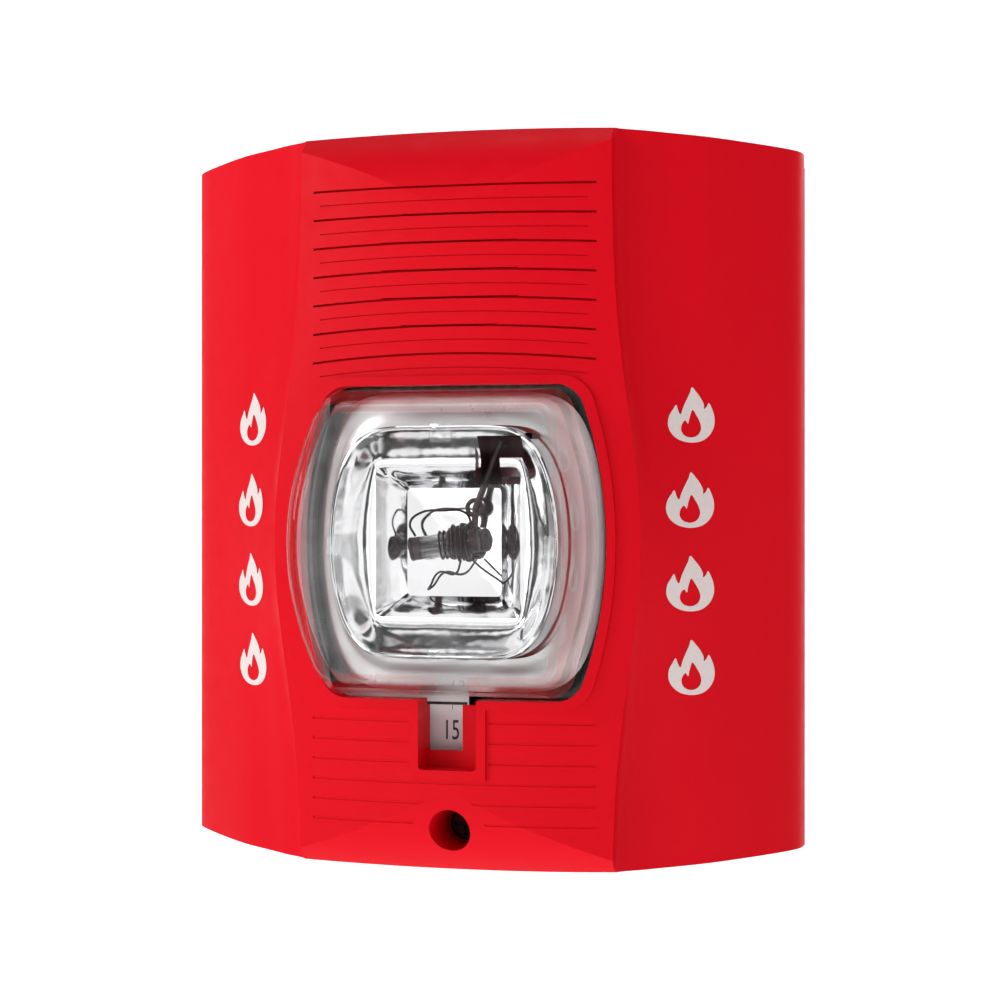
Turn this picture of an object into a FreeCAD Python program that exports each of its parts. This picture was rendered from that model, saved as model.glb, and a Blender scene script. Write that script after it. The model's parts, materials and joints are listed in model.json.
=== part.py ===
import FreeCAD, Part
import functools
import math
import os

# Horn strobe for a wall box. +X is the viewer's right, the front faces -Y and +Z is up.
# The wall is the plane Y = 0 and the origin is the middle of the mounting plate's back face.

V = FreeCAD.Vector

# Overall size
WIDTH = 120.0
HALF_WIDTH = WIDTH / 2
HALF_HEIGHT = 68.0
EDGE_ARC_R = 510.0
WALL = 2.2
RIM_Y = -0.4
TOP_RELIEF = 0.8

# Central panel, bowed in front view and in plan
PANEL_Y = -32.3
CREASE_Y = -28.7
CREASE_X = 29.6
CREASE_SWELL = 5.4
SWELL_SPREAD = 32.0
SHOULDER_START = 52.0
SHOULDER_MID = (-30.2, 62.4)
SHOULDER_END = (-23.5, 68.6)

# Flank section from the crease to the side, at the ends and at the height of the lens
FLANK_END = [(0.8, -25.2), (4.2, -23.7), (7.7, -21.8), (14.2, -18.7), (20.8, -14.2), (27.2, -9.0)]
FLANK_MID = [(1.6, -27.2), (3.8, -25.2), (6.3, -22.9), (11.5, -18.2), (17.0, -13.3), (22.0, -8.9)]
FLANK_OUT = [(59.25, -6.2), (60.0, -3.4)]

# Strobe lens
LENS_Z = -7.7
LENS_BASE_Y = -34.0
LENS_BASE_MID = 28.2
LENS_BASE_END = 22.7
LENS_BASE_HALF = 27.7
LENS_FRONT_Y = -50.0
LENS_FRONT_MID = 24.8
LENS_FRONT_END = 20.6
LENS_FRONT_HALF = 21.2
LENS_DOME_R = 40.5
LENS_TOP_Y = -49.4
LENS_CORNER = 4.8
LENS_RIM = 2.6
LENS_WALL = 1.8
LENS_GAP = 0.9
LENS_LIP = 1.6
LENS_LIP_RISE = 0.7
FLANGE_FRONT = -27.2
FLANGE_THICK = 1.4
FLANGE_REACH = 1.9

# Reflector: barrel-shaped ring, sloping rectangle inside it and flat floor
BOWL_FRONT = -36.0
BOWL_MID = 21.8
BOWL_END = 16.5
BOWL_HALF = 21.2
BOWL_CORNER = 5.0
BOWL_RIM = 0.9
BOWL_EDGE_Y = -33.2
BOWL_EDGE_X = 13.7
BOWL_EDGE_Z = 13.6
BOWL_FLOOR_Y = -28.2
BOWL_FLOOR_X = 9.0
BOWL_FLOOR_Z = 9.9
BOWL_HOLLOW = 10.0
BOWL_SKIN = 1.5
BOWL_FOOT_R = 1.3
SOCKET_LEFT = 5.8
SOCKET_MID = 9.8
SOCKET_RIGHT = 16.0
SOCKET_TOP = 11.8

# Flash tube and its leads
TUBE_R = 2.1
LEAD_R = 0.6
LEAD_BEND = V(5.0, -31.2, -1.4)
LEAD_TOP = V(9.4, -30.2, 10.4)

# Horn grille and lower ribs
GRILLE_TOP = 57.0
GRILLE_PITCH = 5.07
GRILLE_BARS = 7
GRILLE_HALF = 27.0
GROOVE = 0.42
GROOVE_DEEP = 1.25
FAINT_GROOVE = 0.22
FAINT_DEEP = 0.3
SLOT_HALF = 13.0
RIB_TOP = -40.0
RIB_PITCH = 3.7
RIB_COUNT = 6
RIB_LINE = 0.5
RIB_DEEP = 0.2

# Horn
HORN_Z = 42.0
HORN_R = 17.8
HORN_FRONT = -28.0
HORN_BACK = -18.6
DISC_Y = -20.6

# Candela window
POCKET_HALF = 5.5
POCKET_BOTTOM = -49.0
POCKET_FLOOR = -27.0
BORDER = 1.7
BORDER_RISE = 0.7
WINDOW_RIGHT = 1.2
WINDOW_BOTTOM = -46.0

# Mounting screw
SCREW_Z = -60.1
SCREW_R = 1.75
CORE_R = 1.5
THREAD_PITCH = 0.8
THREADS = 9
SCREW_HEAD_R = 3.2
SCREW_HOLE_R = 3.9
SCREW_BOSS_R = 5.9
SCREW_FLOOR = -18.5
SCREW_TIP = -2.2

# Hinge bar at the top, on which the front hangs
HINGE_Y = -3.8
HINGE_Z = 63.0
HINGE_R = 1.0
HOOK_X = 25.0
HOOK_HALF = 3.0

# Circuit board, rear cover and plate
BOARD_BACK = -14.5
BOARD_THICK = 1.6
BOARD_FRONT = BOARD_BACK - BOARD_THICK
BOARD_HALF = 36.0
COVER_BACK = -9.6
COVER_THICK = 1.8
COVER_FRONT = COVER_BACK - COVER_THICK
COVER_HALF = 49.5
COVER_TOP = 58.5
COVER_LOW = -62.0
COVER_SCREW_X = 41.0
COVER_SCREW_Z = 50.0
POST_X = 32.0
POST_Z = 46.0
PLATE_THICK = 1.8
PLATE_HALF_X = 50.0
PLATE_HALF_Z = 58.0
PLATE_CORNER = 5.0
PLATE_RIM = 1.6
PLATE_RIM_Y = -5.0
BOX_SPACING_Z = 83.3
BOX_SPACING_X = 46.0
BOX_HOLE_R = 2.1
SURFACE_HOLE_X = 36.0
SURFACE_HOLE_Z = 30.0
SURFACE_HOLE_R = 2.4

# Candela selector
STRIP_TOP = -35.0
STRIP_BOTTOM = -47.2
STRIP_FRONT = -22.6
STRIP_THICK = 1.4
LABEL_THICK = 0.2
NUMBER_PITCH = 6.5
NUMBERS = 4
CANDELA_TRAVEL = NUMBER_PITCH * (NUMBERS - 1)
FIRST_NUMBER_X = -2.0
LEG_X = -14.0
LEG_Z = -41.0
LEG_HALF = 1.5
KNOB_HALF = 2.2

# Tone selector
TONE_X = 24.0
TONE_Z = 6.0
TONE_R = 3.4

# Board parts
INDUCTOR_X = 23.4
INDUCTOR_Z = 47.5

CHIPS = [(-14.0, 2.0, 5.0, 3.2), (12.0, 4.0, 4.0, 2.6), (-10.0, -20.0, 3.2, 2.6)]
CHIP_LEG_PITCH = 1.27
TRANSISTORS = [(30.0, -6.0), (30.0, -20.0)]
SMALL_CAPACITORS = [(30.0, 10.0), (30.0, 19.0)]
RESISTORS = 6
RESISTOR_TOP = 6.0
RESISTOR_PITCH = 4.5
DIODES = 3
DIODE_TOP = -24.0
DIODE_PITCH = 5.0

# Terminals
TERMINALS = 4
TERMINAL_PITCH = 10.0
TERMINAL_Z = -30.0
TERMINAL_TOP = -8.2
PIN_Z = -25.0
PIN_GUARD_X = 19.0


def box(x0, x1, y0, y1, z0, z1):
    low = V(min(x0, x1), min(y0, y1), min(z0, z1))
    return Part.makeBox(abs(x1 - x0), abs(y1 - y0), abs(z1 - z0), low)


def cyl_y(x, z, r, y0, y1):
    return Part.makeCylinder(r, abs(y1 - y0), V(x, min(y0, y1), z), V(0, 1, 0))


def cyl_z(x, y, r, z0, z1):
    return Part.makeCylinder(r, abs(z1 - z0), V(x, y, min(z0, z1)), V(0, 0, 1))


def cyl_x(y, z, r, x0, x1):
    return Part.makeCylinder(r, abs(x1 - x0), V(min(x0, x1), y, z), V(1, 0, 0))


def join(shapes):
    if len(shapes) == 1:
        return shapes[0]
    return shapes[0].fuse(shapes[1:]).removeSplitter()


def group(shapes):
    return Part.makeCompound(shapes)


def rod(points, r):
    """A bent round wire: straight runs with a ball at each bend."""
    pieces = []
    for start, end in zip(points, points[1:]):
        run = end - start
        pieces.append(Part.makeCylinder(r, run.Length, start, run))
    for bend in points[1:-1]:
        pieces.append(Part.makeSphere(r, bend))
    return join(pieces)


def save(name, shape):
    shape.exportStep("parts/" + name + ".step")


# ---------------------------------------------------------------- outer form

def swell(z):
    return math.exp(-(((z - LENS_Z) / SWELL_SPREAD) ** 2))


def half_section(z):
    """Points from the crease to the side rim at height z, as (x, y)."""
    s = swell(z)
    crease = CREASE_X + CREASE_SWELL * s
    points = [(crease, CREASE_Y)]
    for end, mid in zip(FLANK_END, FLANK_MID):
        x = (CREASE_X + end[0]) * (1 - s) + (CREASE_X + CREASE_SWELL + mid[0]) * s
        y = end[1] * (1 - s) + mid[1] * s
        points.append((x, y))
    return points + FLANK_OUT


def inset_points(points, inset):
    """The same points moved inwards along the normals of their outline."""
    moved = []
    for i, (x, y) in enumerate(points):
        x0, y0 = points[max(i - 1, 0)]
        x1, y1 = points[min(i + 1, len(points) - 1)]
        length = math.hypot(x1 - x0, y1 - y0)
        moved.append((x - inset * (y1 - y0) / length, y + inset * (x1 - x0) / length))
    return moved


def section_wire(z, inset, back):
    outline = half_section(z)
    points = outline if inset == 0 else inset_points(outline, inset)
    if inset != 0:
        points[0] = (outline[0][0] - inset * 0.45, CREASE_Y + inset)
        points[-1] = (HALF_WIDTH - inset, FLANK_OUT[-1][1])
    right = [V(x, y, z) for x, y in points]
    left = [V(-x, y, z) for x, y in points]
    front = V(0, PANEL_Y + inset, z)
    flank_right = Part.BSplineCurve()
    flank_right.interpolate(right)
    flank_left = Part.BSplineCurve()
    flank_left.interpolate(list(reversed(left)))
    arc = Part.Arc(left[0], front, right[0])
    corner_right = V(right[-1].x, back, z)
    corner_left = V(left[-1].x, back, z)
    edges = [
        arc.toShape(),
        flank_right.toShape(),
        Part.LineSegment(right[-1], corner_right).toShape(),
        Part.LineSegment(corner_right, corner_left).toShape(),
        Part.LineSegment(corner_left, left[-1]).toShape(),
        flank_left.toShape(),
    ]
    return Part.Wire(edges)


def body_loft(inset, back):
    heights = [-74, -58, -45, -33, -20, -7.7, 5, 18, 30, 43, 57, 74]
    return Part.makeLoft([section_wire(z, inset, back) for z in heights], True, False)


def end_trim(inset):
    """Bar whose top and bottom follow the arcs of the housing's ends, with the rounded shoulders."""
    reach = HALF_WIDTH + 10
    half = HALF_HEIGHT - inset
    sag = reach * reach / (2 * EDGE_ARC_R)
    top = Part.Arc(V(-reach, 0, half - sag), V(0, 0, half), V(reach, 0, half - sag))
    low = Part.Arc(V(reach, 0, sag - half), V(0, 0, -half), V(-reach, 0, sag - half))
    right = Part.LineSegment(V(reach, 0, half - sag), V(reach, 0, sag - half))
    left = Part.LineSegment(V(-reach, 0, sag - half), V(-reach, 0, half - sag))
    wire = Part.Wire([top.toShape(), right.toShape(), low.toShape(), left.toShape()])
    bar = Part.Face(wire).extrude(V(0, 90, 0))
    bar.translate(V(0, -60, 0))
    return bar


def shoulder_trim(inset):
    """Side profile that rounds the panel over towards its top and bottom ends."""
    y0 = PANEL_Y + inset
    z0 = SHOULDER_START - inset * 0.5
    ym, zm = SHOULDER_MID[0] + inset * 0.8, SHOULDER_MID[1] - inset * 0.6
    ye, ze = SHOULDER_END[0] + inset * 0.6, SHOULDER_END[1] - inset * 0.8
    reach = HALF_WIDTH + 10

    def curve(side):
        spline = Part.BSplineCurve()
        ends = [V(-reach, y0, side * z0), V(-reach, ym, side * zm), V(-reach, ye, side * ze)]
        spline.interpolate(ends, InitialTangent=V(0, 0, side), FinalTangent=V(0, 1.0, side * 0.42))
        return spline.toShape()

    upper = curve(1)
    lower = curve(-1)
    flat = Part.LineSegment(V(-reach, y0, -z0), V(-reach, y0, z0)).toShape()
    top_end = V(-reach, ye, ze)
    low_end = V(-reach, ye, -ze)
    top_out = V(-reach, ye, ze + 20)
    low_out = V(-reach, ye, -ze - 20)
    top_back = V(-reach, 20, ze + 20)
    low_back = V(-reach, 20, -ze - 20)
    path = [top_end, top_out, top_back, low_back, low_out, low_end]
    lines = [Part.LineSegment(a, b).toShape() for a, b in zip(path, path[1:])]
    wire = Part.Wire(Part.__sortEdges__([upper, lower, flat] + lines))
    return Part.Face(wire).extrude(V(2 * reach, 0, 0))


@functools.cache
def outer_form(inset, back):
    """The whole outer form, moved inwards by inset and closed at y = back."""
    form = body_loft(inset, back)
    form = form.common(end_trim(inset))
    return form.common(shoulder_trim(inset))


# ---------------------------------------------------------------- lens outline

def lens_outline(y, mid, end, half):
    """Barrel outline of the lens at depth y: straight ends and bowed sides."""
    top = LENS_Z + half
    low = LENS_Z - half
    corners = [V(-end, y, top), V(end, y, top), V(end, y, low), V(-end, y, low)]
    right = Part.Arc(corners[1], V(mid, y, LENS_Z), corners[2])
    left = Part.Arc(corners[3], V(-mid, y, LENS_Z), corners[0])
    edges = [
        Part.LineSegment(corners[0], corners[1]).toShape(),
        right.toShape(),
        Part.LineSegment(corners[2], corners[3]).toShape(),
        left.toShape(),
    ]
    return Part.Wire(edges)


def barrel(y0, y1, mid, end, half, corner):
    """Straight prism with the barrel outline."""
    solid = Part.Face(lens_outline(y0, mid, end, half)).extrude(V(0, y1 - y0, 0))
    return round_long_edges(solid, corner)


def round_long_edges(solid, corner):
    """Round the four corner edges that run from front to back."""
    long_edges = []
    for edge in solid.Edges:
        run = edge.Vertexes[0].Point - edge.Vertexes[-1].Point
        middle = edge.CenterOfMass
        if abs(run.y) > 0.5 * edge.Length and abs(middle.x) > 1:
            long_edges.append(edge)
    return solid.makeFillet(corner, long_edges)


def base_prism(y0, y1, grow, corner_grow=0.0):
    return barrel(
        y0, y1, LENS_BASE_MID + grow, LENS_BASE_END + grow, LENS_BASE_HALF + grow, LENS_CORNER + corner_grow
    )


# ---------------------------------------------------------------- front housing

def screw_boss():
    tube = cyl_y(0, SCREW_Z, SCREW_BOSS_R, PANEL_Y + 1.5, -8.2)
    return tube.common(box(-10, 10, -40, 0, -80, HINGE_Z)).common(outer_form(0.5, 0))


def housing_posts():
    """Bosses for the cover screws and ribs that carry the circuit board."""
    posts = []
    for sx in (-1, 1):
        for sz in (-1, 1):
            posts.append(cyl_y(sx * COVER_SCREW_X, sz * COVER_SCREW_Z, 3.0, COVER_FRONT, -19.5))
            posts.append(cyl_y(sx * POST_X, sz * POST_Z, 2.0, BOARD_FRONT, -24.0))
    return [post.common(outer_form(0.6, 0)) for post in posts]


def hinge_bars():
    """Two short bars under the top wall, each between a pair of ears."""
    pieces = []
    ear_gap = HOOK_HALF + 0.6
    ear = 1.6
    for side in (-1, 1):
        x = side * HOOK_X
        reach = ear_gap + ear
        pieces.append(cyl_x(HINGE_Y, HINGE_Z, HINGE_R, x - reach, x + reach))
        for edge in (-1, 1):
            inner = x + edge * ear_gap
            outer = x + edge * reach
            plate = box(inner, outer, HINGE_Y - 1.6, HINGE_Y + 1.2, HINGE_Z - 1.2, HALF_HEIGHT)
            pieces.append(plate)
    return [piece.common(outer_form(0.6, 0)) for piece in pieces]


def lens_seat():
    """Raised lip round the lens opening; the lens flange sits behind it."""
    lip = base_prism(-40.0, -26.5, LENS_GAP + LENS_LIP, 1.5)
    return lip.common(outer_form(-LENS_LIP_RISE, 0)).cut(base_prism(-45.0, -20.0, LENS_GAP, 0.8))


def pocket_border():
    """Raised frame of the candela pocket."""
    rim = POCKET_HALF + BORDER
    frame = box(-rim, rim, -40.0, -26.0, POCKET_BOTTOM - BORDER, LENS_Z - LENS_BASE_HALF + 2)
    return frame.common(outer_form(-BORDER_RISE, 0))


def pocket_well():
    """Walls and floor of the pocket, behind the panel."""
    rim = POCKET_HALF + BORDER
    top = LENS_Z - LENS_BASE_HALF - LENS_GAP - 0.3
    well = box(-rim, rim, -32.0, POCKET_FLOOR + 1.4, POCKET_BOTTOM - BORDER, top)
    return well.common(outer_form(0.5, 0))


def pocket_cut():
    """Space of the pocket and the window through its floor."""
    top = LENS_Z - LENS_BASE_HALF - LENS_GAP + 0.01
    pocket = box(-POCKET_HALF, POCKET_HALF, -45.0, POCKET_FLOOR, POCKET_BOTTOM, top)
    pocket = pocket.makeFillet(0.8, [e for e in pocket.Edges if is_depth_edge(e, POCKET_BOTTOM)])
    window = box(-POCKET_HALF, WINDOW_RIGHT, -45.0, POCKET_FLOOR + 5, WINDOW_BOTTOM, top)
    return [pocket, window]


def depth_edges(solid):
    """The edges of a block that run from front to back."""
    return [e for e in solid.Edges if abs(e.Vertexes[0].Y - e.Vertexes[-1].Y) > 1]


def is_depth_edge(edge, z):
    ends = [v.Point for v in edge.Vertexes]
    return abs(ends[0].y - ends[1].y) > 1 and all(abs(p.z - z) < 0.01 for p in ends)


def bar_arch(z):
    """How far a grille line drops per unit of x squared: more for the lower lines."""
    lowest = GRILLE_TOP - GRILLE_PITCH * (GRILLE_BARS - 1)
    return 1.3 / GRILLE_HALF**2 * (GRILLE_TOP - z) / (GRILLE_TOP - lowest)


def bar_arc(z, drop):
    """The line's arc at y = 0, given its drop at the two ends."""
    ends = [V(-GRILLE_HALF, 0, z - drop), V(GRILLE_HALF, 0, z - drop)]
    if drop < 0.02:
        return Part.LineSegment(ends[0], ends[1])
    return Part.Arc(ends[0], V(0, 0, z), ends[1])


def groove_tool(z, height, half):
    """Arched ribbon, open from front to back, for one line of the grille."""
    drop = bar_arch(z) * GRILLE_HALF**2
    upper = bar_arc(z + height / 2, drop)
    lower = bar_arc(z - height / 2, drop)
    up_ends = [upper.StartPoint, upper.EndPoint]
    low_ends = [lower.StartPoint, lower.EndPoint]
    edges = [upper.toShape(), lower.toShape()]
    edges.append(Part.LineSegment(up_ends[1], low_ends[1]).toShape())
    edges.append(Part.LineSegment(low_ends[0], up_ends[0]).toShape())
    ribbon = Part.Face(Part.Wire(Part.__sortEdges__(edges))).extrude(V(0, 45, 0))
    ribbon.translate(V(0, -45, 0))
    return ribbon.common(box(-half, half, -45, 0, z - 4, z + 4))


def grille_grooves():
    """Bold grooves, and fainter ones halfway between them, cut into the panel's skin."""
    bold = []
    faint = []
    for i in range(GRILLE_BARS):
        z = GRILLE_TOP - i * GRILLE_PITCH
        bold.append(groove_tool(z, GROOVE, GRILLE_HALF))
        faint.append(groove_tool(z - GRILLE_PITCH / 2, FAINT_GROOVE, GRILLE_HALF - 1.5))
    deep = group(bold).cut(outer_form(GROOVE_DEEP, 0))
    thin = group(faint).cut(outer_form(FAINT_DEEP, 0))
    return [deep, thin]


def sound_slots():
    """Sound slots behind the bold grooves: they rise as they go in, so no light shows straight through."""
    slots = []
    for i in range(1, GRILLE_BARS - 1):
        z = GRILLE_TOP - i * GRILLE_PITCH
        half = SLOT_HALF if i not in (1, GRILLE_BARS - 2) else SLOT_HALF - 4
        low = z - GROOVE / 2
        rise = 2.2
        path = [
            V(-half, PANEL_Y - 0.7, low),
            V(-half, PANEL_Y + GROOVE_DEEP, low),
            V(-half, -29.0, low + rise),
            V(-half, -27.0, low + rise),
        ]
        back = [p + V(0, 0, GROOVE) for p in reversed(path)]
        outline = Part.makePolygon(path + back + [path[0]])
        slots.append(Part.Face(outline).extrude(V(2 * half, 0, 0)))
    return slots


def lower_ribs():
    """Shallow stepped ribs below the lens, kept clear of the pocket frame and the screw hole."""
    steps = []
    for i in range(RIB_COUNT):
        z = RIB_TOP - i * RIB_PITCH
        steps.append(box(-GRILLE_HALF, GRILLE_HALF, -45, 0, z - RIB_LINE, z))
    tool = group(steps).cut(outer_form(RIB_DEEP, 0))
    rim = POCKET_HALF + BORDER + RIB_LINE
    tool = tool.cut(box(-rim, rim, -50, 5, POCKET_BOTTOM - BORDER - RIB_LINE, 0))
    return tool.cut(cyl_y(0, SCREW_Z, SCREW_HOLE_R + 3.0, -50, 5))


def front_housing():
    shell = outer_form(0, RIM_Y).cut(outer_form(WALL, 5.0))
    relief = box(-HALF_WIDTH - 5, HALF_WIDTH + 5, RIM_Y - TOP_RELIEF, 5, HINGE_Z - 1.0, HALF_HEIGHT + 5)
    shell = shell.cut(relief)
    shell = shell.cut(base_prism(-45.0, -20.0, LENS_GAP, 0.8))
    added = [lens_seat(), pocket_border(), pocket_well(), screw_boss()]
    shell = shell.fuse(added + housing_posts() + hinge_bars())
    cuts = [base_prism(-45.0, -20.0, LENS_GAP, 0.8)]
    cuts += pocket_cut()
    cuts.append(cyl_y(0, SCREW_Z, SCREW_HOLE_R, -45, SCREW_FLOOR))
    cuts.append(cyl_y(0, SCREW_Z, SCREW_R + 0.35, -45, 5))
    cuts.append(cyl_y(0, SCREW_Z, SCREW_HOLE_R, SCREW_FLOOR + 2.0, 5))
    cuts.append(base_prism(FLANGE_FRONT - 0.1, -20.0, FLANGE_REACH + 0.3, 1.5))
    for sx in (-1, 1):
        for sz in (-1, 1):
            cuts.append(cyl_y(sx * COVER_SCREW_X, sz * COVER_SCREW_Z, 1.3, COVER_FRONT - 6.5, 0))
    shell = shell.cut(cuts)
    shell = shell.cut(grille_grooves() + [lower_ribs()])
    return shell.cut(sound_slots())


# ---------------------------------------------------------------- lens and strobe

def lens_body(inset):
    """Tapered block with a domed front on a short straight stem; inset moves every wall inwards."""
    foot = lens_outline(LENS_BASE_Y, LENS_BASE_MID - inset, LENS_BASE_END - inset, LENS_BASE_HALF - inset)
    tip = lens_outline(LENS_FRONT_Y, LENS_FRONT_MID - inset, LENS_FRONT_END - inset, LENS_FRONT_HALF - inset)
    block = round_long_edges(Part.makeLoft([foot, tip], True, True), LENS_CORNER - inset * 0.7)
    block = block.common(cyl_x(LENS_TOP_Y + LENS_DOME_R, LENS_Z, LENS_DOME_R - inset, -40, 40))
    rim = [e for e in block.Edges if is_rim_edge(e, inset)]
    return block.makeFillet(LENS_RIM - inset * 0.7, rim)


def lens_stem(inset, back):
    """Straight foot of the lens, which reaches back through the housing's wall."""
    return base_prism(LENS_BASE_Y - 0.4, back, -inset - 0.12, -inset * 0.7)


def is_rim_edge(edge, inset):
    """Edges round the domed front face."""
    centre_y = LENS_TOP_Y + LENS_DOME_R
    for t in (0.25, 0.5, 0.75):
        first, last = edge.ParameterRange
        p = edge.valueAt(first + (last - first) * t)
        radius = math.hypot(p.y - centre_y, p.z - LENS_Z)
        if abs(radius - (LENS_DOME_R - inset)) > 0.05 or p.y > LENS_BASE_Y - 1:
            return False
    return True


def window_notch():
    """Notch in the flanges, which leaves the candela window's view of the label free."""
    half = POCKET_HALF + BORDER + 0.2
    return box(-half, half, -32, 0, -60, LENS_Z - LENS_BASE_HALF - 0.05)


def strobe_lens():
    back = FLANGE_FRONT + FLANGE_THICK
    flange = base_prism(FLANGE_FRONT, back, FLANGE_REACH, 1.2)
    solid = lens_body(0).fuse([lens_stem(0, back), flange])
    solid = solid.cut(lens_body(LENS_WALL)).cut(lens_stem(LENS_WALL, back + 1))
    return solid.cut(window_notch())


def rectangle(y, half_x, half_z):
    """Closed rectangle about the lens axis at depth y."""
    low = LENS_Z - half_z
    high = LENS_Z + half_z
    corners = [V(-half_x, y, low), V(half_x, y, low), V(half_x, y, high), V(-half_x, y, high)]
    return Part.makePolygon(corners + [corners[0]])


def reflector():
    """Barrel-shaped ring that slopes in to a flat rectangular floor, on a flange behind the lens."""
    flange_front = FLANGE_FRONT + FLANGE_THICK + 0.05
    flange_back = flange_front + 1.0
    flange = base_prism(flange_front, flange_back, FLANGE_REACH, 1.2)
    ring = barrel(BOWL_FRONT, flange_back, BOWL_MID, BOWL_END, BOWL_HALF, BOWL_CORNER)
    mouth_x = BOWL_END - BOWL_RIM
    mouth = [
        lens_outline(BOWL_FRONT - 0.01, BOWL_MID - BOWL_RIM, mouth_x, BOWL_HALF - BOWL_RIM),
        lens_outline(BOWL_EDGE_Y, BOWL_EDGE_X + 0.2, BOWL_EDGE_X, BOWL_EDGE_Z),
    ]
    pit = [
        rectangle(BOWL_EDGE_Y - 0.01, BOWL_EDGE_X, BOWL_EDGE_Z),
        rectangle(BOWL_FLOOR_Y, BOWL_FLOOR_X, BOWL_FLOOR_Z),
    ]
    solid = ring.fuse(flange).cut([Part.makeLoft(mouth, True, True), Part.makeLoft(pit, True, True)])
    hollow = BOWL_HOLLOW
    solid = solid.cut(box(-hollow, hollow, BOWL_FLOOR_Y + BOWL_SKIN, 0, LENS_Z - hollow, LENS_Z + hollow))
    left = tube_feet()[0]
    foot = cyl_y(left[0], left[1], BOWL_FOOT_R, -45, 0)
    return solid.cut([foot, window_notch()] + lead_socket())


def lead_socket():
    """Opening in the reflector's upper right corner, where the bent lead goes down to the board."""
    channel = box(SOCKET_LEFT, SOCKET_MID + 0.6, -45, 0, SOCKET_TOP - 8.8, SOCKET_TOP)
    corner = box(SOCKET_MID, SOCKET_RIGHT, -45, 0, SOCKET_TOP - 7.4, SOCKET_TOP)
    return [channel, corner]


def tube_ends():
    return V(-5.0, -32.0, LENS_Z - 1.0), V(3.8, -30.6, LENS_Z + 0.2)


def cap_centres():
    start, end = tube_ends()
    run = (end - start).normalize()
    return start - run * 0.75, end + run * 0.75


def tube_feet():
    """Where the two leads go down through the reflector and the board, as (x, z)."""
    left = cap_centres()[0]
    return [(left.x, left.z), (LEAD_TOP.x, LEAD_TOP.z)]


def flash_tube():
    start, end = tube_ends()
    run = end - start
    glass = Part.makeCylinder(TUBE_R, run.Length, start, run)
    bore = Part.makeCylinder(1.5, run.Length, start, run)
    return glass.cut(bore)


def tube_electrodes():
    """Metal caps in the ends of the glass, each with a short pin inwards."""
    start, end = tube_ends()
    run = (end - start).normalize()
    caps = []
    for point, way in ((start, run), (end, run * -1)):
        cap = Part.makeCylinder(TUBE_R, 1.5, point - way * 1.5, way)
        pin = Part.makeCylinder(0.5, 2.6, point, way)
        caps.append(cap.fuse(pin))
    return group(caps)


def tube_leads():
    """Stiff leads: a straight post under the left cap, a bent one from the right cap."""
    left, right = cap_centres()
    post = rod([V(left.x, -17.0, left.z), V(left.x, left.y + TUBE_R + 0.05, left.z)], LEAD_R)
    top = right + V(0, 0, TUBE_R + 0.15)
    bent = rod([top, LEAD_BEND, LEAD_TOP, V(LEAD_TOP.x, -17.0, LEAD_TOP.z)], LEAD_R)
    return group([post, bent])


def trigger_wire():
    """Rings of thin wire round the glass."""
    start, end = tube_ends()
    run = (end - start).normalize()
    rings = []
    for k in range(5):
        centre = start + run * (3.6 + 0.8 * k)
        rings.append(Part.makeTorus(2.45, 0.22, centre, run))
    return group(rings)


# ---------------------------------------------------------------- candela selector

def strip_span():
    last = FIRST_NUMBER_X - CANDELA_TRAVEL
    return last - NUMBER_PITCH / 2 - 0.6, FIRST_NUMBER_X + NUMBER_PITCH / 2


def candela_slider():
    left, right = strip_span()
    strip = box(left, right, STRIP_FRONT, STRIP_FRONT + STRIP_THICK, STRIP_BOTTOM, STRIP_TOP)
    leg = box(LEG_X - LEG_HALF, LEG_X + LEG_HALF, STRIP_FRONT + 0.5, -9.0, LEG_Z - LEG_HALF, LEG_Z + LEG_HALF)
    reach = KNOB_HALF
    knob = box(LEG_X - reach, LEG_X + reach, COVER_BACK + 0.15, -8.6, LEG_Z - reach, LEG_Z + reach)
    grip = box(LEG_X - 0.4, LEG_X + 0.4, -8.9, -8.0, LEG_Z - 3, LEG_Z + 3)
    return join([strip, leg, knob]).cut(grip)


def candela_label():
    left, right = strip_span()
    front = STRIP_FRONT - LABEL_THICK
    return box(left + 0.3, right - 0.1, front, STRIP_FRONT, STRIP_BOTTOM + 0.3, STRIP_TOP - 0.2)


def candela_switch():
    """Slide switch body on the board; the slider's leg runs in its slot."""
    half = LEG_HALF + 0.35
    end = LEG_X + CANDELA_TRAVEL
    body = box(LEG_X - 5.5, end + 5.5, BOARD_FRONT, BOARD_FRONT - 3.6, LEG_Z - 4, LEG_Z + 4)
    slot = box(LEG_X - half, end + half, -30, 0, LEG_Z - half, LEG_Z + half)
    return body.cut(slot)


# ---------------------------------------------------------------- circuit board

def leg_slot(y0, y1, margin):
    half = LEG_HALF + margin
    return box(LEG_X - half, LEG_X + CANDELA_TRAVEL + half, y0, y1, LEG_Z - half, LEG_Z + half)


def circuit_board():
    board = box(-BOARD_HALF, BOARD_HALF, BOARD_FRONT, BOARD_BACK, -49.5, 58)
    cuts = [leg_slot(-20, -10, 0.4)]
    for x, z in tube_feet():
        cuts.append(cyl_y(x, z, 0.75, -20, -10))
    for x in pin_places():
        cuts.append(cyl_y(x, PIN_Z, 0.9, -20, -10))
    return board.cut(cuts)


def pin_places():
    first = -TERMINAL_PITCH * (TERMINALS - 1) / 2
    return [first + i * TERMINAL_PITCH for i in range(TERMINALS)]


def can(x, y, z0, z1, r):
    """Aluminium can on its side, with the crimped groove near its foot."""
    body = cyl_z(x, y, r, z0, z1)
    body = body.makeFillet(0.6, [e for e in body.Edges if e.Length > r])
    groove = Part.makeTorus(r + 0.2, 0.6, V(x, y, z0 + 2.6), V(0, 0, 1))
    return body.cut(groove)


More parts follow.
